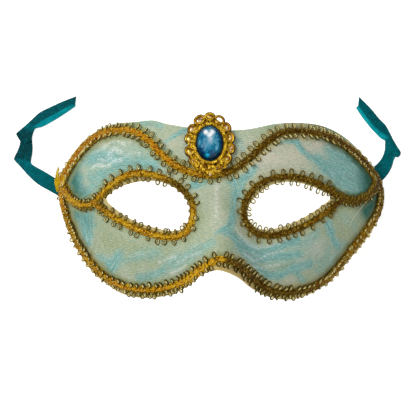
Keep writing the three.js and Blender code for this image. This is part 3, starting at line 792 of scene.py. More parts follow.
def cover(x, y, strokes, feather):
    """How far each place is covered by brushed strokes, 0 to 1, and where it is in the nearest one."""
    steps = 40
    bare = np.ones_like(x)
    spots = np.column_stack([x, y])
    nearest = np.full(len(x), np.inf)
    lie = np.zeros((len(x), 3))
    for number, (route, wide_start, wide_end, strength) in enumerate(strokes):
        line = evenly(smooth_line(route), steps)
        way = unit(np.gradient(line, axis=0))
        reach = max(wide_start, wide_end) * 3.5
        near = np.all((spots > line.min(0) - reach) & (spots < line.max(0) + reach), axis=1).nonzero()[0]
        if not len(near):
            continue
        away = spots[near, None] - line[None]
        gaps = np.linalg.norm(away, axis=2)
        closest = gaps.argmin(axis=1)
        rows = np.arange(len(near))
        gap, step = gaps[rows, closest], away[rows, closest]
        along = run_along(line)[closest] + np.sum(step * way[closest], axis=1)
        side = step[:, 0] * way[closest, 1] - step[:, 1] * way[closest, 0]
        gap = gap / (wide_start + (wide_end - wide_start) * closest / steps)
        ragged = wander(along, side * 0.5, 2.6, 40 + number) * feather
        bare[near] *= 1 - strength * (1 - smooth_step(gap + ragged, 0.1, 1.7))
        closer = gap < nearest[near]
        chosen = near[closer]
        nearest[chosen] = gap[closer]
        lie[chosen] = np.column_stack([along, side, np.full(len(near), 17.0 * number)])[closer]
    return 1 - bare, lie


def cloth_places(points):
    """Places on the lace as if it were laid flat: the way round from the nose, and the way up."""
    x, y = points[:, 0], points[:, 1]
    steps = 80
    part = (np.arange(steps) + 0.5) / steps
    spots = x[:, None] * part
    levels = np.broadcast_to(y[:, None], spots.shape)
    rise = (face_height(spots + 0.1, levels) - face_height(spots - 0.1, levels)) / 0.2
    slope = np.minimum(np.abs(rise), 3.0)
    around_nose = np.sign(x) * np.sqrt(1 + slope ** 2).mean(axis=1) * np.abs(x)
    return np.column_stack([around_nose, y, np.zeros_like(x)])


def half_shell(eye, centre_x, rim, middle, way_out):
    """Rings of points round half the shell, over its front and back, and how far behind each one is.

    That side is 0 on the front, rises to 1 over the edge, and is 1 to 2 behind, where 2 is the hem.
    """
    inner, outer = shell_web(eye, centre_x, rim, middle)
    breadth = outer - inner
    distance = np.linalg.norm(breadth, axis=1)
    rings, sides = [], []

    def add_ring(flat, depth, side, out=0.0):
        """One ring of points: depth under the front along the normal, and pushed out of the edge."""
        rings.append(on_face(flat) - face_normal(flat) * np.reshape(depth, (-1, 1)) + out)
        sides.append(np.broadcast_to(side, len(flat)))

    for part in np.linspace(0, 1, FRONT_ROWS + 1):
        flat = inner + breadth * part
        edge = np.minimum(part, 1 - part) * distance
        rise = crinkle(flat[:, 0], flat[:, 1]) * smooth_step(edge, 0.0, 3.0)
        add_ring(flat, -rise, 0.0)
    push, pull = np.zeros((2, len(outer), 3))
    push[:len(rim), :2] = way_out
    pull[:, :2] = -(breadth / distance[:, None])
    push, pull = along_face(push, outer), along_face(pull, inner)
    half = SHELL_THICKNESS / 2
    for step in range(1, EDGE_ROWS):
        angle = math.pi * step / EDGE_ROWS
        depth = half * (1 - math.cos(angle))
        add_ring(inner + breadth, depth, step / EDGE_ROWS, push * half * math.sin(angle))
    evenly_back = np.linspace(0, 1, BACK_ROWS + 1)
    back_part = 0.6 * (0.5 - 0.5 * np.cos(np.pi * evenly_back)) + 0.4 * evenly_back
    for part in back_part[::-1]:
        flat = inner + breadth * part
        ragged = 0.8 * wander(flat[:, 0], flat[:, 1], 2.0, 9)
        from_edge = np.minimum((1 - part) * distance, part * distance + 1.5)
        hem = 1 - smooth_step(from_edge + ragged, HEM_WIDTH - 0.6, HEM_WIDTH)
        rise = 0.06 * wander(flat[:, 0], flat[:, 1], 4.0, 10)
        add_ring(flat, SHELL_THICKNESS - HEM_THICKNESS * (1 - hem) + rise * hem, 1.0 + hem)
    for step in range(1, EDGE_ROWS):
        angle = math.pi * step / EDGE_ROWS
        depth = half * (1 + math.cos(angle))
        add_ring(inner, depth, 1 - step / EDGE_ROWS, pull * half * math.sin(angle))
    return np.array(rings), np.array(sides)


def half_faces(rings, columns, start):
    """Faces of a half: all of it but the strip round the edge along the line of the nose."""
    faces = np.array(band_faces(rings, columns, closed_rows=True))[:, [0, 3, 2, 1]]
    ring, column = np.divmod(np.arange(len(faces)), columns)
    left_open = (ring >= FRONT_ROWS) & (ring < FRONT_ROWS + EDGE_ROWS) & (column >= RIM_COLUMNS)
    return (faces[~left_open] + start).tolist()


def merged(points, faces, keep=0.002):
    """Points that meet made one, so that the two halves join, the new faces, and which points were kept."""
    keys = np.round(points / keep).astype(np.int64)
    _, first, back = np.unique(keys, axis=0, return_index=True, return_inverse=True)
    back = back.ravel()
    joined = []
    for face in faces:
        turned = [int(back[index]) for index in face]
        corners = [a for a, b in zip(turned, turned[1:] + turned[:1]) if a != b]
        if len(set(corners)) >= 3:
            joined.append(corners)
    return points[first], joined, first


def lift_over_ribbons(points):
    """A shallow relief in each temple rim, where the ribbon comes out from behind."""
    for start, _, leave in (LEFT_RIBBON[:3], RIGHT_RIBBON[:3]):
        start, leave = np.array(start), np.array(leave)
        way = unit(leave - start)
        away = points[:, :2] - (start + leave) / 2
        along, across = away @ way, away @ np.array([-way[1], way[0]])
        inside = (np.abs(along) < NOTCH["length"] / 2) & (np.abs(across) < NOTCH["width"] / 2)
        points[inside, 2] = np.maximum(points[inside, 2], NOTCH["height"])
    return points


def lace_finish():
    """Lace net over the shell: sage, with brushed turquoise, tan at its edges and plain behind."""
    finish = Finish("lace_shell", Roughness=0.5, Metallic=0.0, Specular_IOR_Level=0.08)
    cloth, lie, crease = finish.vectors("cloth", "lie", "crease")
    streak, fold, lip, side, deep, pale = finish.values("streak", "fold", "lip", "side", "deep", "pale")
    braid_shade, tint, moss, gold_in_shade, shaded = finish.values("braid_shade", "tint", "moss", "gold_in_shade", "shaded")
    bristle = finish.brushed(lie, 0, (0.16, 1.3), 5, 0.7)
    flecked = finish.brushed(crease, 0, (0.9, 2.6), 3, 0.6)
    grain = finish.brushed(cloth, -0.5, (0.2, 0.95), 5, 0.65)
    weave = finish.brushed(cloth, 0.55, (0.5, 2.2), 2, 0.6)
    wrinkle = finish.brushed(cloth, -0.6, (0.5, 1.5), 4, 0.65, 0.8)
    mottle = finish.noise(0.09, 3, 0.55, cloth)
    net, ridge = lace_net(finish, cloth)

    sage = finish.blend(finish.span(mottle, 0.38, 0.62), SAGE_GREEN, SAGE_GREY)
    sage = finish.blend(pale, finish.blend(moss, sage, MOSS), BEIGE)
    turquoise = finish.blend(finish.span(bristle, 0.4, 0.58), TURQUOISE_DEEP, TURQUOISE_PALE)
    uneven = finish.plus(finish.span(bristle, 0.36, 0.54, 0.65, 1.25),
                         finish.span(grain, 0.3, 0.7, -0.2, 0.2))
    painted = finish.times(streak, uneven, clamp=True)
    faint = finish.times(finish.span(grain, 0.42, 0.7), finish.span(mottle, 0.35, 0.6, 0.05, 0.45))
    wear_and_shade = finish.times(streak, finish.span(bristle, 0.55, 0.62, 0.0, 0.42))
    # Painted highlight on the glossy folds, broken into flecks
    fold_gleam = finish.times(fold, finish.span(flecked, 0.46, 0.56))

    front = finish.blend(finish.math("MAXIMUM", painted, faint), sage, turquoise)
    front = finish.blend(wear_and_shade, front, TURQUOISE_WORN)
    front = finish.overlaid(front, (weave, (0.36, 0.5, 0.26, 0.0), WEAVE_DARK),
                            (weave, (0.5, 0.64, 0.0, 0.28), WEAVE_LIGHT))
    front = finish.blend(finish.times(fold_gleam, 0.95), front, FOLD_HIGHLIGHT)
    # Lighter net threads and ridges, and painted shade in the hollows of the net
    front = finish.overlaid(front, (net, (-0.4, 1.6, 0.0, 0.12), NET_THREAD),
                            (ridge, (0.2, 1.0, 0.0, 0.1), NET_RIDGE),
                            (net, (-1.5, -0.3, 0.08, 0.0), NET_HOLLOW))
    # Darker teal: dye and painted shade at the temples, painted shade beside the nose
    front = finish.blend(finish.times(deep, finish.span(grain, 0.3, 0.7, 0.8, 1.0)), front, TEAL)
    front = finish.blend(finish.times(lip, 0.85), front, TAN)
    # Painted shade and gold glow beside the braids: beige where the gold is shaded, green on the right flank
    margin = finish.blend(shaded, finish.blend(gold_in_shade, OLIVE_PALE, OLIVE_BEIGE), OLIVE_GREEN)
    front = finish.blend(braid_shade, finish.blend(tint, front, margin), OLIVE)

    cloudy = finish.noise(0.3, 4, vector=cloth)
    plastic = finish.blend(finish.span(cloudy, 0.35, 0.7), PLASTIC_DARK, PLASTIC_LIGHT)
    hem = finish.blend(finish.span(net, -0.6, 1.6, 0.0, 0.3), HEM_DARK, HEM_LIGHT)
    back = finish.blend(finish.span(side, 1.2, 1.8), plastic, hem)
    finish.feed("Base Color", finish.blend(finish.span(side, 0.5, 0.95), front, back))
    rough = finish.math("SUBTRACT", 0.55, finish.times(fold_gleam, 0.2))
    finish.feed("Roughness", finish.plus(rough, finish.times(grain, 0.1)))
    finish.feed("Normal", finish.bump(net, 0.5, 0.00006, Normal=finish.bump(wrinkle, 0.7, 0.0003)))
    return finish.material


def lace_net(finish, cloth):
    """A fine net: three sets of threads at sixty degrees, high on the threads, and the first set alone."""
    waves = []
    for number in range(3):
        turn = NET_TURN + number * math.pi / 3
        way = (math.cos(turn), math.sin(turn), 0)
        run = finish.node("ShaderNodeVectorMath", {0: cloth, 1: way}, operation="DOT_PRODUCT")
        phase = finish.times(run.outputs["Value"], 2 * math.pi / (NET_PITCH * math.sin(math.pi / 3)))
        waves.append(finish.math("COSINE", phase))
    total = finish.plus(finish.plus(waves[0], waves[1]), waves[2])
    return finish.times(total, -1.0), waves[0]


def both_halves():
    """Points of the whole shell, how far behind each one is, and its faces, still apart at the nose."""
    steps = 60
    outline = smooth_line(OUTLINE, closed=True, steps=steps)
    arch = NOSE_ARCH_POINT * steps
    left_rim = evenly(outline[:arch + 1], RIM_COLUMNS)
    right_rim = evenly(np.vstack([outline[arch:], outline[:1]]), RIM_COLUMNS)
    rise = np.linspace(OUTLINE[NOSE_ARCH_POINT][1], OUTLINE[0][1], MIDDLE_COLUMNS + 1)
    middle = np.column_stack([np.zeros_like(rise), rise])
    whole = np.vstack([left_rim, right_rim[1:-1]])
    tangent = unit(np.roll(whole, -1, axis=0) - np.roll(whole, 1, axis=0))
    way_out = np.column_stack([tangent[:, 1], -tangent[:, 0]])
    way_out *= np.sign((way_out * whole).sum())
    right_ways = np.vstack([way_out[RIM_COLUMNS:], way_out[:1]])
    points, side, faces = np.empty((0, 3)), np.empty(0), []
    for half in ((LEFT_EYE, -EYE_CENTRE[0], left_rim, middle, way_out[:RIM_COLUMNS + 1]),
                 (RIGHT_EYE, EYE_CENTRE[0], right_rim, middle[::-1], right_ways)):
        rings, behind = half_shell(*half)
        faces += half_faces(*behind.shape, len(points))
        points, side = np.vstack([points, rings.reshape(-1, 3)]), np.append(side, behind)
    return points, side, faces


def make_shell():
    """The moulded shell and its lace, as one closed piece with rolled edges."""
    points, side, faces = both_halves()
    points, faces, kept = merged(points, faces)
    points = lift_over_ribbons(points)
    points[:, 2] = np.maximum(points[:, 2], 0.0)
    x, y = points[:, 0], points[:, 1]
    streak, lie = cover(x, y, STROKES, 0.3)
    fold, crease = cover(x, y, FOLDS, 0.3)
    lip = lip_cover(x, y)
    deep = np.maximum(soft_spots(x, y, DARK_AREAS), 0.2 * cover(x, y, DARK_LINES, 0.3)[0])
    values = {
        "side": side[kept], "streak": streak, "fold": fold, "lip": lip, "deep": deep,
        "pale": soft_spots(x, y, PALE_AREAS),
        "moss": soft_spots(x, y, MOSSY_AREAS),
        # Painted shade and gold glow beside the braids, and painted shade on the right flank
        "braid_shade": braid_shade_mask(points, 2.4, 0.52) * (1 - 0.5 * lip),
        "tint": braid_shade_mask(points, 4.5, 0.7) * (1 - 0.75 * lip) * (1 - 0.4 * deep),
        "gold_in_shade": gold_shade(x, y),
        "shaded": smooth_step(x, 44, 60) * (0.35 + 0.65 * smooth_step(y, -2, 8)),
        "cloth": cloth_places(points), "lie": lie, "crease": crease,
    }
    make_piece("lace_shell", points, faces, values, lace_finish(), "mask_shell")


def gap_to(x, y, line):
    """Distance in the plane from each place to a line."""
    places = np.column_stack([x, y])
    best = np.full(len(x), np.inf)
    for low in range(0, len(line), 40):
        gaps = np.linalg.norm(places[:, None] - line[None, low:low + 40], axis=2)
        best = np.minimum(best, gaps.min(axis=1))
    return best


def lip_cover(x, y):
    """The tan margin along the lower rim and round the eye holes."""
    rim, left, right = (gap_to(x, y, smooth_line(edge, closed=True, steps=12))
                        for edge in (OUTLINE, LEFT_EYE, RIGHT_EYE))
    low = 1 - smooth_step(y, -12, 4)
    on_rim = (1 - smooth_step(rim + 0.7 * wander(x, y, 2.5, 7), LIP_WIDTH, LIP_WIDTH * 1.8)) * low
    at_eye = 1 - smooth_step(np.minimum(left, right) + 0.5 * wander(x, y, 2.5, 8), 1.0, 2.6)
    return np.maximum(on_rim, 0.8 * at_eye)


def braid_shade_mask(points, reach, strength):
    """Painted olive shade and gold glow on the lace along each braid, out to a reach from its middle."""
    x, y = points[:, 0], points[:, 1]
    braid_shade = np.zeros_like(x)
    level = face_normal(points)[:, 2]
    wide = reach * (1.5 - 0.5 * level) * (1 + 0.2 * smooth_step(-x, 35, 50) * smooth_step(y, 12, 18))
    at_eye = 0.5 + 0.5 * smooth_step(np.abs(x), 50, 64)
    for route, much in ((BROW_BRAID, 1), (LEFT_EYE_BRAID, at_eye), (RIGHT_EYE_BRAID, at_eye),
                        (LOWER_BRAID, 1)):
        gap = gap_to(x, y, smooth_line(route, steps=20))
        spread = 1 - smooth_step(gap / wide + 0.16 * wander(x, y, 1.6, 12), 0.6, 1.1)
        braid_shade = np.maximum(braid_shade, strength * much * spread)
    return braid_shade


# Gold braid

# The core: how its strands sway and lift, and where it stands. Over steep ground it leans to the sky,
# and is raised so that its inner edge stays out of the shell.
BRAID_SWAY = 0.68
BRAID_LIFT = 0.3
BRAID_PITCH = 3.4
BRAID_BASE = 0.8
BRAID_MIDDLE = 0.8
BRAID_LEAN = 1.8
BRAID_RAISE = 1.25
STRAND_WIDE = 0.5
STRAND_HIGH = 0.43
STRAND_STEP = 0.34
STRAND_SIDES = 8

# The thin threads at its sides and the web under it
EDGE_THREAD = 0.29
EDGE_REACH = 1.35
EDGE_PITCH = 2.1
EDGE_SIDES = 5
WEB_REACH = 1.6
WEB_COLUMNS = 11
WEB_STEP = 0.3
WEB_THICKNESS = 0.3

# The wire loops: their root and neck are measured out from the braid's line. The slim ones have thicker
# wire. Steep is the lean, in radians, from which a flank counts as wholly steep.
LOOP_RADIUS = 1.04
LOOP_LONG = 1.2
LOOP_WIRE = 0.35
LOOP_NECK = 1.95
LOOP_ROOT = 0.8
LOOP_SLANT = math.radians(26)
LOOP_STEPS = 21
LOOP_SIDES = 8
LOOP_STEP = 0.25
LOOP_SLIM = 0.8
LOOP_STEEP = 0.6
LOOP_LOWEST = 0.6

# The smooth end of a braid, over the rim of the right temple
STRAP = [(86.4, 21.4), (88.4, 17.2), (89.9, 12.2), (90.5, 7), (90, 2)]
STRAP_WIDE = 0.95
STRAP_HIGH = 0.5
STRAP_LIFT = 1.6
STRAP_LOWEST = 5.5
STRAP_SIDES = 12

# Gold thread as it shows lit, and a darker, browner copy of it for where it is painted in shade
LIT_GOLD_DEEP = colour(136, 80, 0)
LIT_GOLD_MIDDLE = colour(190, 115, 0)
LIT_GOLD_LIGHT = colour(226, 178, 28)
SHADED_GOLD_DEEP = colour(48, 32, 0)
SHADED_GOLD_MIDDLE = colour(96, 60, 0)
SHADED_GOLD_LIGHT = colour(140, 108, 20)
# Painted glints on the thread
PAINTED_GLINT = colour(248, 216, 96)
# Loop wire: painted shade on its outer side, its own olive gold, painted highlight on its inner side
WIRE_SHADE = colour(80, 64, 4)
WIRE_MIDDLE = colour(150, 122, 24)
WIRE_HIGHLIGHT = colour(255, 244, 176)
THREAD_SHADE = colour(40, 30, 0)

# Where the braid is painted darkest, as shade: over the inner corner of the left eye hole, and at the right
# temple
DARK_CORNERS = [(-19, 9, 8, 8, 1.0), (85, 16, 4, 7, 1.3)]

# Where a row of loops may stand, from its x and y and how level the shell is there
BY_STRAP = 83.5
BY_TEMPLE = 58.0
NOSE_SIDE = 14.0
CORNER_LEFT = -24.0
CORNER_LOW = -9.0
STANDS = {
    "everywhere": lambda x, y, level: True,
    "clear of the strap": lambda x, y, level: x < BY_STRAP,
    "flanks clear of the strap": lambda x, y, level: x < BY_STRAP and level < 0.68,
    "rim": lambda x, y, level: level < 0.47,
    "front": lambda x, y, level: level > 0.7 and abs(x - 1) > NOSE_SIDE,
    "temples": lambda x, y, level: abs(x) > BY_TEMPLE,
    "corner": lambda x, y, level: x > CORNER_LEFT and y > CORNER_LOW,
    "clear of the corner": lambda x, y, level: x <= CORNER_LEFT or y <= CORNER_LOW,
}

# Each braid: its node, its line, how much more painted shade and more yellow it has than its place gives, how
# slim its loops are, how much painted highlight those on its inner edge carry, and the rows of its loops.
# Each row has its edge, the pitch, the shift along in pitches, how far it is set in, and where it stands.
BRAIDS = [
    ("braid_brow", BROW_BRAID, 0.0, 0.1, 0.88, 1.0, [
        (1, 4.1, 0.5, 0.0, "everywhere"), (-1, 4.7, 0.5, 0.0, "clear of the strap"),
        (-1, 4.7, 0.0, 0.5, "flanks clear of the strap"), (1, 4.1, 0.0, -1.1, "rim"),
    ]),
    ("braid_eye_left", LEFT_EYE_BRAID, 0.2, 0.75, 0.88, 0.3, [
        (1, 4.5, 0.5, 0.2, "clear of the corner"), (1, 4.5, 0.5, 1.9, "corner"),
        (-1, 5.1, 0.5, 0.0, "everywhere"), (1, 4.5, 0.0, 0.3, "temples"), (-1, 5.1, 0.0, 0.3, "temples"),
    ]),
    ("braid_eye_right", RIGHT_EYE_BRAID, 0.0, 0.3, 0.88, 0.4, [
        (1, 5.1, 0.5, 0.2, "everywhere"), (-1, 4.5, 0.5, 0.0, "everywhere"),
        (1, 5.1, 0.0, 0.3, "temples"), (-1, 4.5, 0.0, 0.3, "temples"),
    ]),
    ("braid_lower_rim", LOWER_BRAID, 0.05, 0.35, 0.76, 1.0, [
        (1, 3.9, 0.5, 0.5, "everywhere"), (-1, 3.9, 0.5, 0.0, "everywhere"),
        (1, 3.9, 0.0, -0.6, "front"), (-1, 3.9, 0.0, -1.3, "rim"),
    ]),
]


def gold_thread_finish():
    """Metallic gold thread: speckled in the plait, with painted glints and shade, and painted highlight
    inside its loops.
    """
    finish = Finish("gold_braid", Metallic=0.15, Roughness=0.42, Specular_IOR_Level=0.08)
    run, turn, tone, shade = finish.values("run", "turn", "tone", "shade")
    loop, dull, inner = finish.values("loop", "dull", "inner")
    speckle = finish.noise(760, 2, 0.65)
    glint = finish.noise(1150, 1, 0.5)
    patchy = finish.noise(130, 2, 0.5)
    tint = finish.plus(tone, finish.span(patchy, 0.35, 0.65, -0.3, 0.3), clamp=True)

    # The thread speckled, with painted glints as strong as flecked
    def speckled(deep, middle, light, flecked):
        thread = finish.blend(finish.span(speckle, 0.38, 0.5), deep, finish.blend(tint, middle, light))
        return finish.blend(finish.times(finish.span(glint, 0.6, 0.68), flecked), thread, PAINTED_GLINT)

    # The lit thread, blended into its darker painted copy where it is painted in shade, with fewer glints
    thread = finish.blend(dull, speckled(LIT_GOLD_DEEP, LIT_GOLD_MIDDLE, LIT_GOLD_LIGHT, 0.85),
                          speckled(SHADED_GOLD_DEEP, SHADED_GOLD_MIDDLE, SHADED_GOLD_LIGHT, 0.5))
    # Loop wire from painted shade on its outer side to painted highlight on its inner side
    wire = finish.overlaid(WIRE_SHADE, (inner, (-0.15, 0.1), WIRE_MIDDLE), (inner, (0.15, 0.45), WIRE_HIGHLIGHT))
    base = finish.blend(loop, thread, wire)
    finish.feed("Base Color", finish.blend(finish.times(shade, 0.9), base, THREAD_SHADE))
    twist = finish.math("SINE", finish.plus(finish.times(run, 9.0), finish.times(turn, 2 * math.pi * 3)))
    wound = finish.wave(run, 26.0)
    pattern = finish.node("ShaderNodeMix", {0: loop, 2: twist, 3: wound}, data_type="FLOAT").outputs[0]
    finish.feed("Normal", finish.bump(pattern, 0.6, 0.00006))
    return finish.material


def gold_shade(x, y):
    """How far the thread is painted darker and browner, as shade: lit left of the nose, shaded to its right.
    """
    brow = smooth_step(x, -3, 10) * smooth_step(y, 0, 10)
    low = smooth_step(x, 2, 5) * (1 - smooth_step(y, 0, 10))
    lighter = 0.4 * smooth_step(x, 40, 62) * (1 - smooth_step(y, -6, 4))
    temple = 0.22 * smooth_step(-x, 40, 60) * smooth_step(y, 14, 20)
    cheek = 0.42 * smooth_step(-x, 50, 66) * (1 - smooth_step(y, -4, 4))
    return np.clip(brow + low - lighter + temple + cheek + 1.5 * soft_spots(x, y, DARK_CORNERS), 0, 1)


def braid_up(places):
    """The way up out of a braid: square to the shell, but leaning to the sky where that is steep."""
    normal = face_normal(places)
    return unit(normal + np.array([0, 0, BRAID_LEAN]) * (1 - normal[:, 2:3]))


def braid_raise(places):
    """How far a leaning braid is lifted, so that its inner edge stays out of the shell."""
    lean = np.clip(np.sum(face_normal(places) * braid_up(places), axis=1, keepdims=True), 0.3, 1)
    return BRAID_RAISE * np.sqrt(1 - lean ** 2)


def clear_of_face(points, gap=0.4):
    """The points pushed out along the shell's normal, to where they stand at least a gap over it."""
    normal = face_normal(points)
    over = (points[:, 2] - height_under(points)) * normal[:, 2]
    return points + normal * np.clip(gap - over, 0, 2)[:, None]


class Course:
    """A braid's places on the shell at even steps, with the ways along, across and up at each.

    The route is drawn over the middle of the braid's thickness as seen from above. Its darkening is how far
    the thread is painted darker as shade at each place, and steep how steep the shell is, from 0 where it is
    nearly level to 1.
    """

    def __init__(self, route, step, wear_and_shade=0.0):
        flat = smooth_line(route, steps=40)
        flat = flat - braid_up(flat)[:, :2] * (BRAID_MIDDLE + braid_raise(flat))
        line = on_face(flat) + braid_up(flat) * braid_raise(flat)
        self.line = evenly(line, int(round(run_along(line)[-1] / step)))
        self.run = run_along(self.line)
        self.way = unit(np.gradient(self.line, axis=0))
        self.across = unit(np.cross(self.way, braid_up(self.line)))
        self.up = unit(np.cross(self.across, self.way))
        self.normal = face_normal(self.line)
        self.steep = smooth_step(1 - self.normal[:, 2], 0.2, 0.55)
        self.dull = np.clip(gold_shade(self.line[:, 0], self.line[:, 1]) + wear_and_shade, 0, 1)

    def beside(self, side, rise):
        """Places at a side and a rise from the line."""
        return self.line + self.across * side[:, None] + self.up * rise[:, None]

    def drift(self, size, seed, lane=0):
        """Slow random change along the braid, from -1 to 1; each lane has its own."""
        return wander(self.run, lane, size, seed)


def add_thread(pile, path, up, wide, high, sides, **values):
    """A rod of gold thread, with the run and turn that its finish winds it by."""
    pile.add(*rod(path, up, wide, high, sides), run=run_along(path), turn=around(sides), **values)


def add_plait(pile, route, wear_and_shade, yellow):
    """Three strands plaited into the core, with gold thread that zigzags along both its sides."""
    braid = Course(route, STRAND_STEP, wear_and_shade)
    x, y, steep, dull = braid.line[:, 0], braid.line[:, 1], braid.steep, braid.dull
    yellow = yellow + 0.45 * smooth_step(x, -38, -20) * (1 - dull)
    yellow = yellow + 0.4 * smooth_step(-x, 42, 62) * (1 - smooth_step(y, -8, 2))
    # Painted shade at the dark corners
    corner = 0.4 * soft_spots(x, y, DARK_CORNERS)[:, None]
    sway = (1 + 0.8 * steep) * (1 - 0.22 * dull) * BRAID_SWAY
    for strand, lighter in enumerate((-0.15, 0.0, 0.2)):
        phase = 2 * np.pi * (braid.run / BRAID_PITCH + strand / 3) + 0.5 * braid.drift(5.0, 20 + strand)
        side = sway * np.sin(phase) + 0.16 * braid.drift(2.2, 23 + strand, lane=1)
        path = braid.beside(side, BRAID_BASE + BRAID_LIFT * np.sin(2 * phase))
        thick = (1 + 0.5 * steep) * (1 - 0.12 * dull) * (1 + 0.18 * braid.drift(1.4, 33 + strand, lane=2))
        low = smooth_step(-np.sin(2 * phase), -0.1, 1.0)[:, None]
        shade = 0.45 * low + 0.85 * underside(STRAND_SIDES, -0.45, 0.3) + corner
        tone = yellow + lighter + 0.35 * braid.drift(2.5, 26 + strand)
        add_thread(pile, path, braid.up, STRAND_WIDE * thick, STRAND_HIGH * thick, STRAND_SIDES,
                   tone=np.clip(tone, 0, 1), shade=np.clip(shade, 0, 1), dull=dull)
    thin = EDGE_THREAD * (1 + 0.3 * steep)
    for edge in (-1, 1):
        for number in range(2):
            wave = 2 * np.pi * braid.run / EDGE_PITCH + np.pi * number
            wave = wave + 1.1 * np.sin(braid.run * 0.8 + number + edge)
            side = edge * (EDGE_REACH - 0.25 * dull + 0.85 * steep + (0.4 + 0.3 * steep) * np.sin(wave)
                           + 0.2 * braid.drift(1.7, 36 + number, lane=4))
            path = clear_of_face(braid.beside(side, 0.5 + 0.15 * np.cos(wave * 0.5)))
            tone = 0.75 + 0.4 * braid.drift(0.9, 30 + number, lane=edge)
            add_thread(pile, path, braid.up, thin, thin, EDGE_SIDES, tone=np.clip(tone, 0, 1),
                       shade=0.7 * underside(EDGE_SIDES, -0.2, 0.6), dull=dull)


def add_web(pile, route, wear_and_shade, yellow):
    """The loose web of short threads under the core: a thin strip, ragged at its edges."""
    braid = Course(route, WEB_STEP, wear_and_shade)
    reach = WEB_REACH - 0.3 * braid.dull + 1.35 * braid.steep
    columns = np.linspace(1, -1, WEB_COLUMNS)
    top = []
    for column in columns:
        side = column * (reach + 0.55 * braid.drift(0.75, 60, lane=9 * np.sign(column)))
        top.append(clear_of_face(braid.beside(side, 0.42 + 0.22 * wander(braid.run, side, 0.6, 61))))
    top = np.stack(top, axis=1)
    ring = np.concatenate([top, top[:, -2:0:-1] - braid.up[:, None] * WEB_THICKNESS], axis=1)
    run, place = braid.run[:, None], 3 * np.concatenate([columns, columns[-2:0:-1]])
    tone = yellow + 0.25 + 0.3 * wander(run, place, 0.7, 62)
    # Painted shade under the core, and more of the darker painted copy of the thread
    shade = 0.18 + 0.6 * wander(run, place, 0.9, 63)
    pile.add(ring, tube_faces(*ring.shape[:2]), tone=np.clip(tone, 0, 1), shade=np.clip(shade, 0, 1),
             dull=np.clip(braid.dull + 0.25, 0, 1))


def loop_outline(slim):
    """One wire loop in its own plane: out along its left root, round, and back over itself."""
    turns = np.linspace(-math.pi / 2 + LOOP_SLANT, 1.5 * math.pi - LOOP_SLANT, 11)
    long = LOOP_LONG * LOOP_RADIUS
    centre = LOOP_NECK + long * 0.94
    ring = np.column_stack([slim * LOOP_RADIUS * np.cos(turns), centre + long * np.sin(turns)])
    start = np.array([(-0.6 * slim, LOOP_ROOT), (-0.1, LOOP_NECK - 0.14)])
    route = np.vstack([start, ring, start[::-1] * (-1, 1)])
    lift = 0.3 * np.cos(np.pi * np.linspace(0, 1, len(route)))
    return evenly(smooth_line(np.column_stack([route, lift]), steps=8), LOOP_STEPS)


def loop_ways(way, out, up, tilt, yaw, twist, flatter):
    """The ways of one loop: across it, out along it, and square to both. A flatter one falls less."""
    along = way * math.cos(yaw) + out * math.sin(yaw)
    reach = out * math.cos(yaw) - way * math.sin(yaw)
    reach = reach * math.cos(tilt) + up * math.sin(tilt)
    if flatter and reach[2] < 0:
        reach = unit(reach * (1, 1, 0.5))
        along = unit(along - reach * np.dot(along, reach))
    across = along * math.cos(twist) + np.cross(along, reach) * math.sin(twist)
    return across, reach, np.cross(across, reach)


def add_loops(pile, route, slim, gleam, edge, pitch, shift, inset, stands):
    """Wire loops along one edge of a braid, each leaning a little its own way."""
    outline = loop_outline(slim)
    is_slim = slim < LOOP_SLIM
    wire = LOOP_WIRE * (1.28 if is_slim else 1.0)
    braid = Course(route, LOOP_STEP)
    for number in range(int(braid.run[-1] / pitch)):
        at = (number + shift) * pitch + RANDOM.normal(0, 0.22)
        k = int(np.clip(np.searchsorted(braid.run, at), 0, len(braid.run) - 1))
        x, y = braid.line[k, :2]
        if not STANDS[stands](x, y, braid.normal[k, 2]):
            continue
        up, out = braid.up[k], braid.across[k] * edge
        lean = math.asin(float(np.clip(np.dot(out, braid.normal[k]), -1, 1)))
        falls = float(np.clip(lean / LOOP_STEEP, 0, 1))
        steep = float(np.clip(abs(lean) / LOOP_STEEP, 0, 1))
        tilt = math.radians(6 + RANDOM.normal(0, 4) - 14 * falls) + max(-lean, 0.0)
        yaw = math.radians(RANDOM.normal(0, 10))
        twist = math.radians(RANDOM.normal(0, 14))
        on_tail = abs(x) > BY_TEMPLE and -5 < y < 14
        size = 1 + RANDOM.normal(0, 0.06) - 0.32 * on_tail - 0.1 * is_slim
        across, reach, square = loop_ways(braid.way[k], out, up, tilt, yaw, twist, edge > 0 and is_slim)
        base = braid.line[k] + up * 0.55 - reach * inset
        path = (base + across * (outline[:, :1] * size)
                + reach * (LOOP_ROOT + (outline[:, 1:2] - LOOP_ROOT) * size)
                + square * outline[:, 2:3])
        centre = base + reach * (LOOP_ROOT + (LOOP_NECK + LOOP_RADIUS * 1.13 - LOOP_ROOT) * size)
        sunk = max(LOOP_LOWEST - path[:, 2].min(), 0.0)
        path[:, 2] += sunk
        centre[2] += sunk
        # Loops on the dim right flank and upper left flank get less painted highlight
        less_highlight = float(smooth_step(x, 46, 60) + smooth_step(-x, 40, 60) * (y > 14))
        shine = gleam * (1 - 0.45 * less_highlight)
        web, faces = rod(path, square, wire, wire, LOOP_SIDES)
        # How far each side of the wire faces the loop's middle: painted highlight there, painted shade
        # outside
        inner = (np.linalg.norm(path - centre, axis=1)[:, None] - np.linalg.norm(web - centre, axis=2)) / wire
        pile.add(web, faces, run=run_along(path), turn=around(LOOP_SIDES), tone=0.5, loop=1,
                 inner=inner * shine * (1 - 0.35 * steep) + 0.35 * steep)


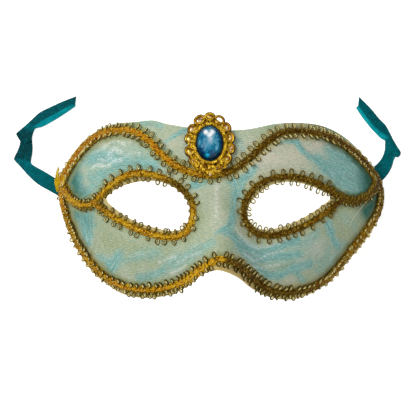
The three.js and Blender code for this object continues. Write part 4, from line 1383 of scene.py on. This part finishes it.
def add_strap(pile):
    """The flat end of the braid that is drawn smooth over the rim of the right temple."""
    line = on_face(evenly(smooth_line(STRAP), 60))
    line[:, 2] = np.maximum(line[:, 2], STRAP_LOWEST) + STRAP_LIFT
    thick = 1 - 0.6 * np.abs(np.linspace(-1, 1, len(line))) ** 3
    # Painted shade along one side of the strap, and part of the darker painted copy
    add_thread(pile, line, (0.5, 0, 1), STRAP_WIDE * thick, STRAP_HIGH * thick, STRAP_SIDES, tone=0.6,
               shade=outside(STRAP_SIDES, 0.2, 0.9) * 0.6, dull=0.45)


def make_braids():
    gold = gold_thread_finish()
    for node, route, wear_and_shade, yellow, slim, gleam, rows in BRAIDS:
        pile = Pile()
        add_web(pile, route, wear_and_shade, yellow)
        add_plait(pile, route, wear_and_shade, yellow)
        for edge, *row in rows:
            add_loops(pile, route, slim, gleam if edge > 0 else 1.0, edge, *row)
        if node == "braid_lower_rim":
            add_strap(pile)
        pile.make(f"gold_{node}", gold, replaces=node)


# Brooch

BEAD_ROWS = 5
BEAD_SIDES = 8
OVAL_STEPS = 96
GEM_SIDES = 18
GEM_RINGS = (0.87, 0.7, 0.5, 0.27)

# The rope on the collar: how far out its middle is, how high, and how far its strands wind from there
ROPE_OUT = 0.98
ROPE_LEVEL = 2.65
ROPE_SWAY = 0.42
ROPE_LIFT = 0.35
ROPE_STRAND = 0.46
ROPE_STEPS = 220
ROPE_TURNS = 24

# The lobes: how far in from the setting's edge their middles are, half sizes out and across of their
# wire rings, their fillings and the curls before them, and the turn to the bead beside each, in degrees
LOBE_IN = 1.9
LOBE_RING = (1.65, 2.35)
LOBE_FILLING = (1.6, 2.1)
LOBE_CURL = (1.3, 1.7)
LOBE_WIRE = (0.74, 0.85)
CURL_WIRE = 0.46
CURL_IN = 0.9
CURL_LEVEL = 2.0
LOBE_STEPS = 20
JOINT_TURN = 12.5
JOINT_BEAD = 0.7

# The heap of grains and curls: how many, and from where to where round the setting, in degrees
HEAP_GRAINS = 130
HEAP_ARC = (222, 318)
HEAP_WIRE = 0.42

# Plated gold: two tones of its own, pale painted highlight, bright painted glints, brown specks and painted
# shade
PLATED_DEEP = colour(196, 134, 0)
PLATED_LIGHT = colour(248, 206, 48)
PLATED_HIGHLIGHT = colour(255, 232, 190)
PLATED_GLINT = colour(255, 230, 118)
PLATED_STAIN = colour(122, 74, 0)
PLATED_SHADE = colour(50, 30, 0)
# The stone: a rim in painted shade, its blues lightened and darkened by painted reflection, a painted white
# flash and cyan spark
STONE_EDGE = colour(0, 14, 26)
STONE_DEEP = colour(0, 60, 100)
STONE_MIDDLE = colour(32, 128, 164)
STONE_LIGHT = colour(150, 208, 220)
STONE_CYAN = colour(30, 196, 236)
STONE_FLASH = colour(252, 254, 255)

# Painted reflections of the foil and the lights, with the stone's half sizes as 1: lighter and darker
# spots, white flashes and a cyan spark
FOIL_LIGHT = [
    (0.02, 0.12, 0.42, 0.45, 0.5), (0.1, -0.85, 0.8, 0.25, -0.42), (0.5, -0.45, 0.12, 0.15, 0.4),
    (0.5, 0.1, 0.15, 0.3, 0.35), (0.8, 0.3, 0.18, 0.4, -0.3), (-0.1, 0.85, 0.3, 0.15, 0.3),
    (-0.75, -0.05, 0.12, 0.3, 0.3), (-0.15, -0.35, 0.25, 0.2, 0.25), (-0.6, -0.5, 0.25, 0.3, -0.3),
    (-0.45, 0.2, 0.15, 0.25, -0.1),
]
FOIL_FLASHES = [(-0.28, 0.52, 0.24, 0.19, 1), (0.17, 0.52, 0.22, 0.22, 1), (-0.02, 0.24, 0.18, 0.3, 1)]
FOIL_SPARK = [(-0.17, -0.76, 0.17, 0.13, 1)]

# The setting's section from its inner edge: how far out, how high, and how much painted shade
COLLAR = [(0.0, 0.0, 1.0), (1.5, 0.0, 1.0), (1.5, 0.9, 1.0), (1.4, 1.7, 0.7), (1.1, 2.2, 0.5),
          (0.7, 2.4, 0.4), (0.4, 2.8, 0.1), (0.12, 2.9, 0.3), (0.0, 2.5, 0.9)]

# The plate under the grains: half width, half height and level of each ring
PLATE = [(8.0, 10.4, 0.0), (10.3, 13.8, 0.0), (10.5, 14.0, 0.5), (10.3, 13.8, 1.3), (8.0, 10.4, 1.5)]

# Bands of grains: half width, half height, count, level and size
GRAIN_BANDS = [(8.9, 11.8, 44, 2.2, 0.45), (9.7, 12.9, 40, 1.9, 0.5)]

# Lobes: how far round the brooch each stands, in degrees, its size, and how pale its filling is with painted
# highlight
LOBES = [
    (90, 0.95, 0.4), (62, 1.0, None), (37, 0.98, 0.8), (13, 1.0, 0.5), (-10, 1.04, 0.5),
    (-34, 0.98, 0.35), (-60, 0.9, 0.1), (-88, 0.9, 0.1), (-116, 0.9, 0.1), (-141, 0.95, 0.3),
    (-164, 1.02, 0.3), (169, 0.98, 0.35), (147, 0.98, 0.8), (119, 1.12, 1.0),
]

# The dome that fills a lobe: how wide each ring of it is, how high, and how much painted shade
LOBE_DOME = [(1.0, 0.4, 1.0), (0.9, 1.1, 0.5), (0.6, 1.45, 0.05), (0.2, 1.6, 0.0)]


def brooch_seat():
    """How high the flat back of the setting stands, as in the solids: clear of the brow below its edge."""
    seat = -math.inf
    for turn in range(24):
        angle = 2 * math.pi * turn / 24
        for reach in (0.3, 0.6, 1):
            along_x = reach * SETTING_HALF[0] * math.cos(angle)
            along_y = reach * SETTING_HALF[1] * math.sin(angle) * math.cos(BROOCH_TILT)
            if BROOCH_CENTRE[1] + along_y < BROW_EDGE:
                height = float(face_height(BROOCH_CENTRE[0] + along_x, BROOCH_CENTRE[1] + along_y))
                seat = max(seat, height + along_y * math.tan(BROOCH_TILT))
    return seat + FIT_GAP


BROOCH_SEAT = brooch_seat()


def on_brow(points):
    """Places of the brooch, drawn flat with its back at height 0, as it sits on the brow."""
    cos, sin = math.cos(BROOCH_TILT), math.sin(BROOCH_TILT)
    x, y, z = points[:, 0], points[:, 1], points[:, 2]
    return np.column_stack([x + BROOCH_CENTRE[0], y * cos + z * sin + BROOCH_CENTRE[1],
                            z * cos - y * sin + BROOCH_SEAT])


def oval(half_wide, half_high, height, steps, start=0.0):
    angle = start + 2 * np.pi * np.arange(steps) / steps
    return np.column_stack([half_wide * np.cos(angle), half_high * np.sin(angle), np.full(steps, height)])


def add_wire(pile, line, radius, high=None, sides=8, closed=False, tone=0.5, dark=0.9, rim=False):
    """A rod of the brooch, with painted shade along its sides, and along its outer edge where it is a rim."""
    shade = underside(sides, -0.7, 0.2) * dark
    if rim:
        shade = np.maximum(shade, outside(sides, -0.05, 0.5))
    pile.add(*rod(line, (0, 0, 1), radius, high or radius, sides, closed), tone=tone, shade=shade)


def add_bead(pile, centre, radius, **values):
    """A small ball."""
    turns = 2 * np.pi * np.arange(BEAD_SIDES) / BEAD_SIDES
    rings = [(0, 0, -1)]
    for row in range(1, BEAD_ROWS):
        angle = math.pi * row / BEAD_ROWS
        rings.append(np.column_stack([math.sin(angle) * np.cos(turns), math.sin(angle) * np.sin(turns),
                                      np.full(BEAD_SIDES, -math.cos(angle))]))
    points = np.vstack([*rings, (0, 0, 1)])
    last = len(points) - 1
    top = last - BEAD_SIDES
    faces = band_faces(BEAD_ROWS - 1, BEAD_SIDES, start=1)
    for side in range(BEAD_SIDES):
        following = (side + 1) % BEAD_SIDES
        faces += [[0, 1 + following, 1 + side], [last, top + side, top + following]]
    pile.add(points * radius + centre, faces, **values)


def add_collar_rope(pile):
    """Two strands wound round each other along the top of the collar."""
    turns = np.linspace(0, 2 * np.pi, ROPE_STEPS, endpoint=False)
    for strand in range(2):
        wind = ROPE_TURNS * turns + math.pi * strand
        out = ROPE_OUT + ROPE_SWAY * np.cos(wind)
        line = np.column_stack([(GEM_HALF[0] + out) * np.cos(turns), (GEM_HALF[1] + out) * np.sin(turns),
                                ROPE_LEVEL + ROPE_LIFT * np.sin(wind)])
        add_wire(pile, line, ROPE_STRAND, closed=True, tone=0.7 + 0.3 * strand, dark=0.6)


def bent(centre, out, angles, far, wide):
    """Places round an oval in the plane, its half sizes far along the way out and wide across it."""
    side = np.array([-out[1], out[0]])
    return centre + np.outer(np.cos(angles) * far, out) + np.outer(np.sin(angles) * wide, side)


def at_level(flat, level):
    return np.column_stack([flat, np.broadcast_to(level, len(flat))])


def add_lobes(pile):
    """Scallops round the setting: a wire ring each, most of them filled, that run into each other."""
    middle_wide, middle_high = SETTING_HALF[0] - LOBE_IN, SETTING_HALF[1] - LOBE_IN
    turns = 2 * np.pi * np.arange(LOBE_STEPS) / LOBE_STEPS
    arc = np.linspace(0.55 * math.pi, 1.45 * math.pi, 9)
    for number, (degrees, size, filling) in enumerate(LOBES):
        angle = math.radians(degrees)
        up = max(middle_high * math.sin(angle), 1.7 - middle_high)
        centre = np.array([middle_wide * math.cos(angle), up])
        out = unit(np.array([math.cos(angle) / middle_wide, math.sin(angle) / middle_high]))
        ring = bent(centre, out, turns, LOBE_RING[0] * size, LOBE_RING[1] * size)
        high = 1.2 + 0.3 * np.cos(turns) + 0.15 * math.cos(number * 2.4)
        add_wire(pile, at_level(ring, high), *LOBE_WIRE, sides=12, closed=True,
                 tone=0.45 + 0.3 * math.cos(number * 1.7), dark=1.0, rim=True)
        if filling is not None:
            far, wide = LOBE_FILLING[0] * size, LOBE_FILLING[1] * size
            dome = [at_level(bent(centre, out, turns, far * reach, wide * reach), level)
                    for reach, level, _ in LOBE_DOME]
            # The filling: pale with painted highlight, in painted shade at its low edge
            pile.add(dome, tube_faces(len(dome), LOBE_STEPS), tone=0.8, pale=filling,
                     shade=[shade for _, _, shade in LOBE_DOME])
        curl = bent(centre, out, arc, *LOBE_CURL) - CURL_IN * out
        add_wire(pile, at_level(curl, CURL_LEVEL), CURL_WIRE, tone=RANDOM.uniform(0.4, 1), dark=0.85)
        joint = math.radians(degrees + JOINT_TURN)
        low = max((middle_high - 0.2) * math.sin(joint), 1.9 - middle_high)
        spot = [(middle_wide - 0.2) * math.cos(joint), low, 1.7]
        add_bead(pile, spot, JOINT_BEAD, tone=RANDOM.uniform(0.4, 1))


def add_grains(pile):
    """Bands of grains between the collar and the lobes, and a heap of grains and curls over the braid."""
    for number, (wide, high, count, level, size) in enumerate(GRAIN_BANDS):
        for spot in oval(wide, high, level, count, start=0.09 * number):
            jitter = RANDOM.normal(0, 0.2, 3)
            add_bead(pile, spot + jitter, size * RANDOM.uniform(0.7, 1.3), tone=RANDOM.uniform(0, 1),
                     shade=max(0.0, RANDOM.uniform(-0.5, 0.7)))
    for number in range(HEAP_GRAINS):
        angle = math.radians(RANDOM.uniform(*HEAP_ARC))
        reach = RANDOM.uniform(0.74, 0.99)
        spot = np.array([SETTING_HALF[0] * reach * math.cos(angle), SETTING_HALF[1] * reach * math.sin(angle),
                         RANDOM.uniform(1.9, 2.6)])
        if number % 3:
            # Some grains are pale with painted highlight
            add_bead(pile, spot, RANDOM.uniform(0.45, 0.95), tone=RANDOM.uniform(0.2, 1),
                     shade=max(0.0, RANDOM.uniform(-0.4, 0.8)), pale=float(RANDOM.uniform(0, 1) > 0.85))
        else:
            bend = np.linspace(0, RANDOM.uniform(2.5, 4.5), 9) + RANDOM.uniform(0, 6)
            curl = spot + np.column_stack([1.3 * np.cos(bend), 1.0 * np.sin(bend), np.full(9, 0.35)])
            add_wire(pile, curl, HEAP_WIRE, tone=RANDOM.uniform(0.3, 1), dark=0.95)


def make_setting():
    """Openwork setting: a roped collar round the stone, grains and curls, and a ring of lobes."""
    pile = Pile(on_brow)
    inner_wide, inner_high = GEM_HALF[0] + 0.02, GEM_HALF[1] + 0.02
    collar = [oval(inner_wide + out, inner_high + out, high, OVAL_STEPS) for out, high, _ in COLLAR]
    pile.add(collar, band_faces(len(collar), OVAL_STEPS, closed_rows=True), tone=0.7,
             shade=[shade for _, _, shade in COLLAR])
    plate = [oval(wide, high, level, OVAL_STEPS) for wide, high, level in PLATE]
    # A little painted shade over the plate under the grains
    pile.add(plate, band_faces(len(plate), OVAL_STEPS, closed_rows=True), tone=0.5, shade=0.3)
    add_collar_rope(pile)
    add_lobes(pile)
    add_grains(pile)
    pile.make("gold_brooch_setting", plated_finish(), replaces="brooch_setting")


def plated_finish():
    """Bright plated metal, brown-specked, with painted glints and highlight, and painted shade in its
    hollows.
    """
    finish = Finish("gold_setting", Metallic=0.4, Roughness=0.3, Specular_IOR_Level=0.12)
    tone, shade, pale = finish.values("tone", "shade", "pale")
    speckle = finish.noise(520, 3, 0.7)
    gold = finish.blend(pale, finish.blend(tone, PLATED_DEEP, PLATED_LIGHT), PLATED_HIGHLIGHT)
    stained = finish.overlaid(gold, (speckle, (0.48, 0.56, 0.0, 0.85), PLATED_STAIN),
                              (speckle, (0.36, 0.43, 0.8, 0.0), PLATED_GLINT))
    finish.feed("Base Color", finish.blend(finish.times(shade, 0.97), stained, PLATED_SHADE))
    finish.feed("Roughness", finish.span(speckle, 0.3, 0.7, 0.2, 0.45))
    finish.feed("Normal", finish.bump(speckle, 0.6, 0.00014))
    return finish.material


def stone_finish():
    """A foil-backed blue stone: painted reflections by facet and a rim in painted shade, under a polished
    face.
    """
    finish = Finish("blue_stone", Metallic=0.0, Roughness=0.2, Specular_IOR_Level=0.1, Coat_Weight=0.08,
                    Coat_Roughness=0.03)
    light, edge, flash, cyan = finish.values("light", "edge", "flash", "cyan")
    veins = finish.noise(700, 3, 0.6, distortion=1.0)
    depth = finish.plus(light, finish.span(veins, 0.3, 0.7, -0.06, 0.06), clamp=True)
    body = finish.overlaid(STONE_DEEP, (depth, (0, 0.5), STONE_MIDDLE), (depth, (0.5, 1), STONE_LIGHT))
    for part, tone in ((cyan, STONE_CYAN), (edge, STONE_EDGE), (flash, STONE_FLASH)):
        body = finish.blend(part, body, tone)
    finish.feed("Base Color", body)
    return finish.material


def foil_tones(corners):
    """The values of one facet's corners: one lightness for all, and an edge, a flash and a spark for each."""
    across, up, _ = (np.vstack([np.mean(corners, axis=0), corners]) / (*GEM_HALF, 1)).T
    light = 0.27 + oval_spots(across, up, FOIL_LIGHT)[0] + RANDOM.normal(0, 0.12)
    flash = np.max([oval_spots(across, up, [spot]) for spot in FOIL_FLASHES], axis=0)
    cyan = oval_spots(across, up, FOIL_SPARK)
    return {
        "light": np.clip(light, 0, 1),
        "edge": 0.95 * smooth_step(np.hypot(across, up)[1:], 0.72, 0.96),
        "flash": smooth_step(0.5 * flash[0] + 0.5 * flash[1:], 0.35, 0.8),
        "cyan": smooth_step(0.5 * cyan[0] + 0.5 * cyan[1:], 0.25, 0.7),
    }


def make_gem():
    """The faceted oval: a domed crown of five rings of facets, and the edge in the collar."""
    base = SETTING_PLATE + FIT_GAP
    rings = [(0.97, base), (1.0, base + GEM_GIRDLE)]
    rings += [(reach, base + GEM_GIRDLE + GEM_CROWN * (1 - reach ** 2) ** 0.6) for reach in GEM_RINGS]
    web = [oval(GEM_HALF[0] * reach, GEM_HALF[1] * reach, level, GEM_SIDES,
                math.pi * (number % 2) / GEM_SIDES) for number, (reach, level) in enumerate(rings)]
    facets = []
    for number, (low, high) in enumerate(zip(web[:-1], web[1:])):
        for side in range(GEM_SIDES):
            following = (side + 1) % GEM_SIDES
            a, b, c, d = low[side], low[following], high[following], high[side]
            facets += [(a, b, c), (a, c, d)] if number % 2 else [(a, b, d), (b, c, d)]
    pile = Pile(on_brow)
    for corners in [*facets, web[-1], web[0][::-1]]:
        pile.add(corners, [range(len(corners))], **foil_tones(corners))
    pile.make("blue_brooch_stone", stone_finish(), "brooch_gem", smooth=False)


# Stray threads

TUFT_THREADS = 190
TUFT_TIPS = 14
TUFT_CURLS = 26
TUFT_LOWEST = 2.0
THREAD_RADIUS = 0.19
TIP_RADIUS = 0.16
CURL_RADIUS = 0.3
STRAY_RADIUS = 0.13
FRAYED_DEEP = colour(196, 158, 0)
FRAYED_LIGHT = colour(234, 204, 36)
FRAYED_DARK = colour(66, 40, 0)
STRAY_GREEN = colour(196, 206, 170)
STRAY_PALE = colour(226, 228, 208)
STRAY_GOLD = colour(168, 136, 60)
STRAY_THREAD = [(86, 9.5), (82.7, 9), (79.7, 7.1), (77.4, 4.1), (75, 0.5), (72, -3.8), (69.3, -8.8)]


def make_tuft():
    """Frayed yellow threads where the braid ends meet at the left temple."""
    pile = Pile()

    def add_end(flat, height, radius, sides, tone):
        pile.add(*rod(np.column_stack([flat, height]), (0, 0, 1), radius, radius, sides), tone=tone)

    for _ in range(TUFT_THREADS):
        root = np.array([RANDOM.uniform(-88.0, -82.8), RANDOM.uniform(9.5, 14.0)])
        length = RANDOM.uniform(4.0, 7.5)
        tip = root + [RANDOM.normal(0.0, 0.5), length]
        bend = root + [RANDOM.normal(-0.5, 0.25), length * 0.5]
        flat = smooth_line([root, bend, tip], steps=5)
        rise = np.linspace(2.4, 3.0, len(flat)) + RANDOM.uniform(0, 1.6)
        height = np.maximum(height_under(flat), TUFT_LOWEST) + rise
        add_end(flat, height, THREAD_RADIUS, 5, RANDOM.uniform(0, 1))
    for _ in range(TUFT_TIPS):
        root = np.array([RANDOM.uniform(-88.4, -87.4), RANDOM.uniform(14.5, 16)])
        tip = root + [RANDOM.uniform(0.4, 1.3), RANDOM.uniform(6, 8)]
        flat = smooth_line([root, root + [-0.3, 3.0], tip], steps=6)
        height = np.linspace(3.6, 4.6, len(flat)) + RANDOM.uniform(0, 0.6)
        add_end(flat, height, TIP_RADIUS, 5, RANDOM.uniform(0, 1))
    for _ in range(TUFT_CURLS):
        middle = np.array([RANDOM.uniform(-87.4, -81.5), RANDOM.uniform(4.5, 10.5)])
        turns = RANDOM.uniform(0, 6) + np.linspace(0, RANDOM.uniform(3, 5), 10)
        flat = middle + RANDOM.uniform(0.6, 1.3) * np.column_stack([np.cos(turns), np.sin(turns)])
        height = np.maximum(height_under(flat), TUFT_LOWEST) + RANDOM.uniform(1.4, 2.6)
        add_end(flat, height, CURL_RADIUS, 6, -RANDOM.uniform(0.3, 1))
    pile.make("frayed_threads", frayed_finish())


def frayed_finish():
    """Yellow thread ends, with dark ones between them where the tone is below 0."""
    finish = Finish("frayed_gold", Metallic=0.0, Roughness=0.5, Specular_IOR_Level=0.1)
    tone, = finish.values("tone")
    finish.feed("Base Color", finish.overlaid(FRAYED_DEEP, (tone, (0, 1), FRAYED_LIGHT),
                                              (tone, (-1, -0.3, 1.0, 0.0), FRAYED_DARK)))
    return finish.material


def make_stray_thread():
    """A loose thread over the right cheek: golden where it leaves the braid, pale over the lace."""
    line = on_face(evenly(smooth_line(STRAY_THREAD), 60))
    normal = face_normal(line)
    part = np.linspace(0, 1, len(line))
    lift = 0.5 + 2.6 * (1 - smooth_step(part, 0.2, 0.7))
    finish = Finish("pale_thread", Roughness=0.45, Specular_IOR_Level=0.2)
    bare, = finish.values("bare")
    pale = finish.blend(finish.noise(400), STRAY_GREEN, STRAY_PALE)
    finish.feed("Base Color", finish.blend(bare, STRAY_GOLD, pale))
    pile = Pile()
    web, faces = rod(line + normal * lift[:, None], normal, STRAY_RADIUS, STRAY_RADIUS, 6)
    pile.add(web, faces, bare=smooth_step(part, 0.38, 0.5))
    pile.make("stray_thread", finish.material)


# Stage

FLOOR_HALF = 3.0
FLOOR_GLOW = 0.65


def make_camera():
    lens = bpy.data.cameras.new("camera")
    lens.lens = CAMERA_LENS
    lens.sensor_width = CAMERA_SENSOR
    lens.sensor_fit = "HORIZONTAL"
    lens.clip_start = 0.01
    lens.clip_end = 20
    camera = stood("camera", lens)
    camera.location = to_row([CAMERA_PLACE])[0]
    bpy.context.scene.camera = camera


def make_floor():
    """A plain pale table that glows a little, as a light table does."""
    mesh = bpy.data.meshes.new("floor")
    corners = [(x * FLOOR_HALF, y * FLOOR_HALF, 0) for x, y in ((-1, -1), (1, -1), (1, 1), (-1, 1))]
    mesh.from_pydata(corners, [], [(0, 1, 2, 3)])
    finish = Finish("floor", Roughness=0.9, Base_Color=(0.9, 0.9, 0.9, 1), Specular_IOR_Level=0.1,
                    Emission_Color=(1, 1, 1, 1), Emission_Strength=FLOOR_GLOW)
    mesh.materials.append(finish.material)
    floor = stood("floor", mesh)


def soft_light(name, place, aim, size, power):
    """A square soft light that faces a point."""
    light = bpy.data.lights.new(name, "AREA")
    light.shape = "SQUARE"
    light.size = size
    light.energy = power
    lamp = stood(name, light)
    lamp.location = place
    way = np.array(aim) - np.array(place)
    flat = math.hypot(way[0], way[1])
    lamp.rotation_euler = (math.atan2(flat, -way[2]), 0, math.atan2(way[1], way[0]) - math.pi / 2)


def make_world():
    """Even studio air: bright overhead and a little brighter on the left, dim at the horizon."""
    world = bpy.data.worlds.new("studio")
    bpy.context.scene.world = world
    world.use_nodes = True
    tree = world.node_tree
    place = tree.nodes.new("ShaderNodeTexCoord")
    split = tree.nodes.new("ShaderNodeSeparateXYZ")
    product = tree.nodes.new("ShaderNodeMath")
    product.operation = "MULTIPLY"
    tree.links.new(place.outputs["Generated"], split.inputs[0])
    upward, rightward = (2, 0.0, 0.9, 0.5, 1.25), (0, -0.7, 0.7, 1.12, 0.95)
    for factor, (axis, *spans) in enumerate((upward, rightward)):
        ramp = tree.nodes.new("ShaderNodeMapRange")
        for number, value in enumerate(spans, start=1):
            ramp.inputs[number].default_value = value
        tree.links.new(split.outputs[axis], ramp.inputs[0])
        tree.links.new(ramp.outputs[0], product.inputs[factor])
    tree.links.new(product.outputs[0], tree.nodes["Background"].inputs["Strength"])


def make_stage():
    make_floor()
    make_world()
    soft_light("key", (-0.55, 0.4, 0.95), (0, 0, 0.02), 0.6, 9.5)
    soft_light("fill", (0.35, -0.4, 1.05), (0, 0, 0.02), 0.9, 5.4)
    bpy.context.scene.view_settings.view_transform = "Standard"


make_camera()
make_ribbons()
make_shell()
make_braids()
make_setting()
make_gem()
make_tuft()
make_stray_thread()
make_stage()
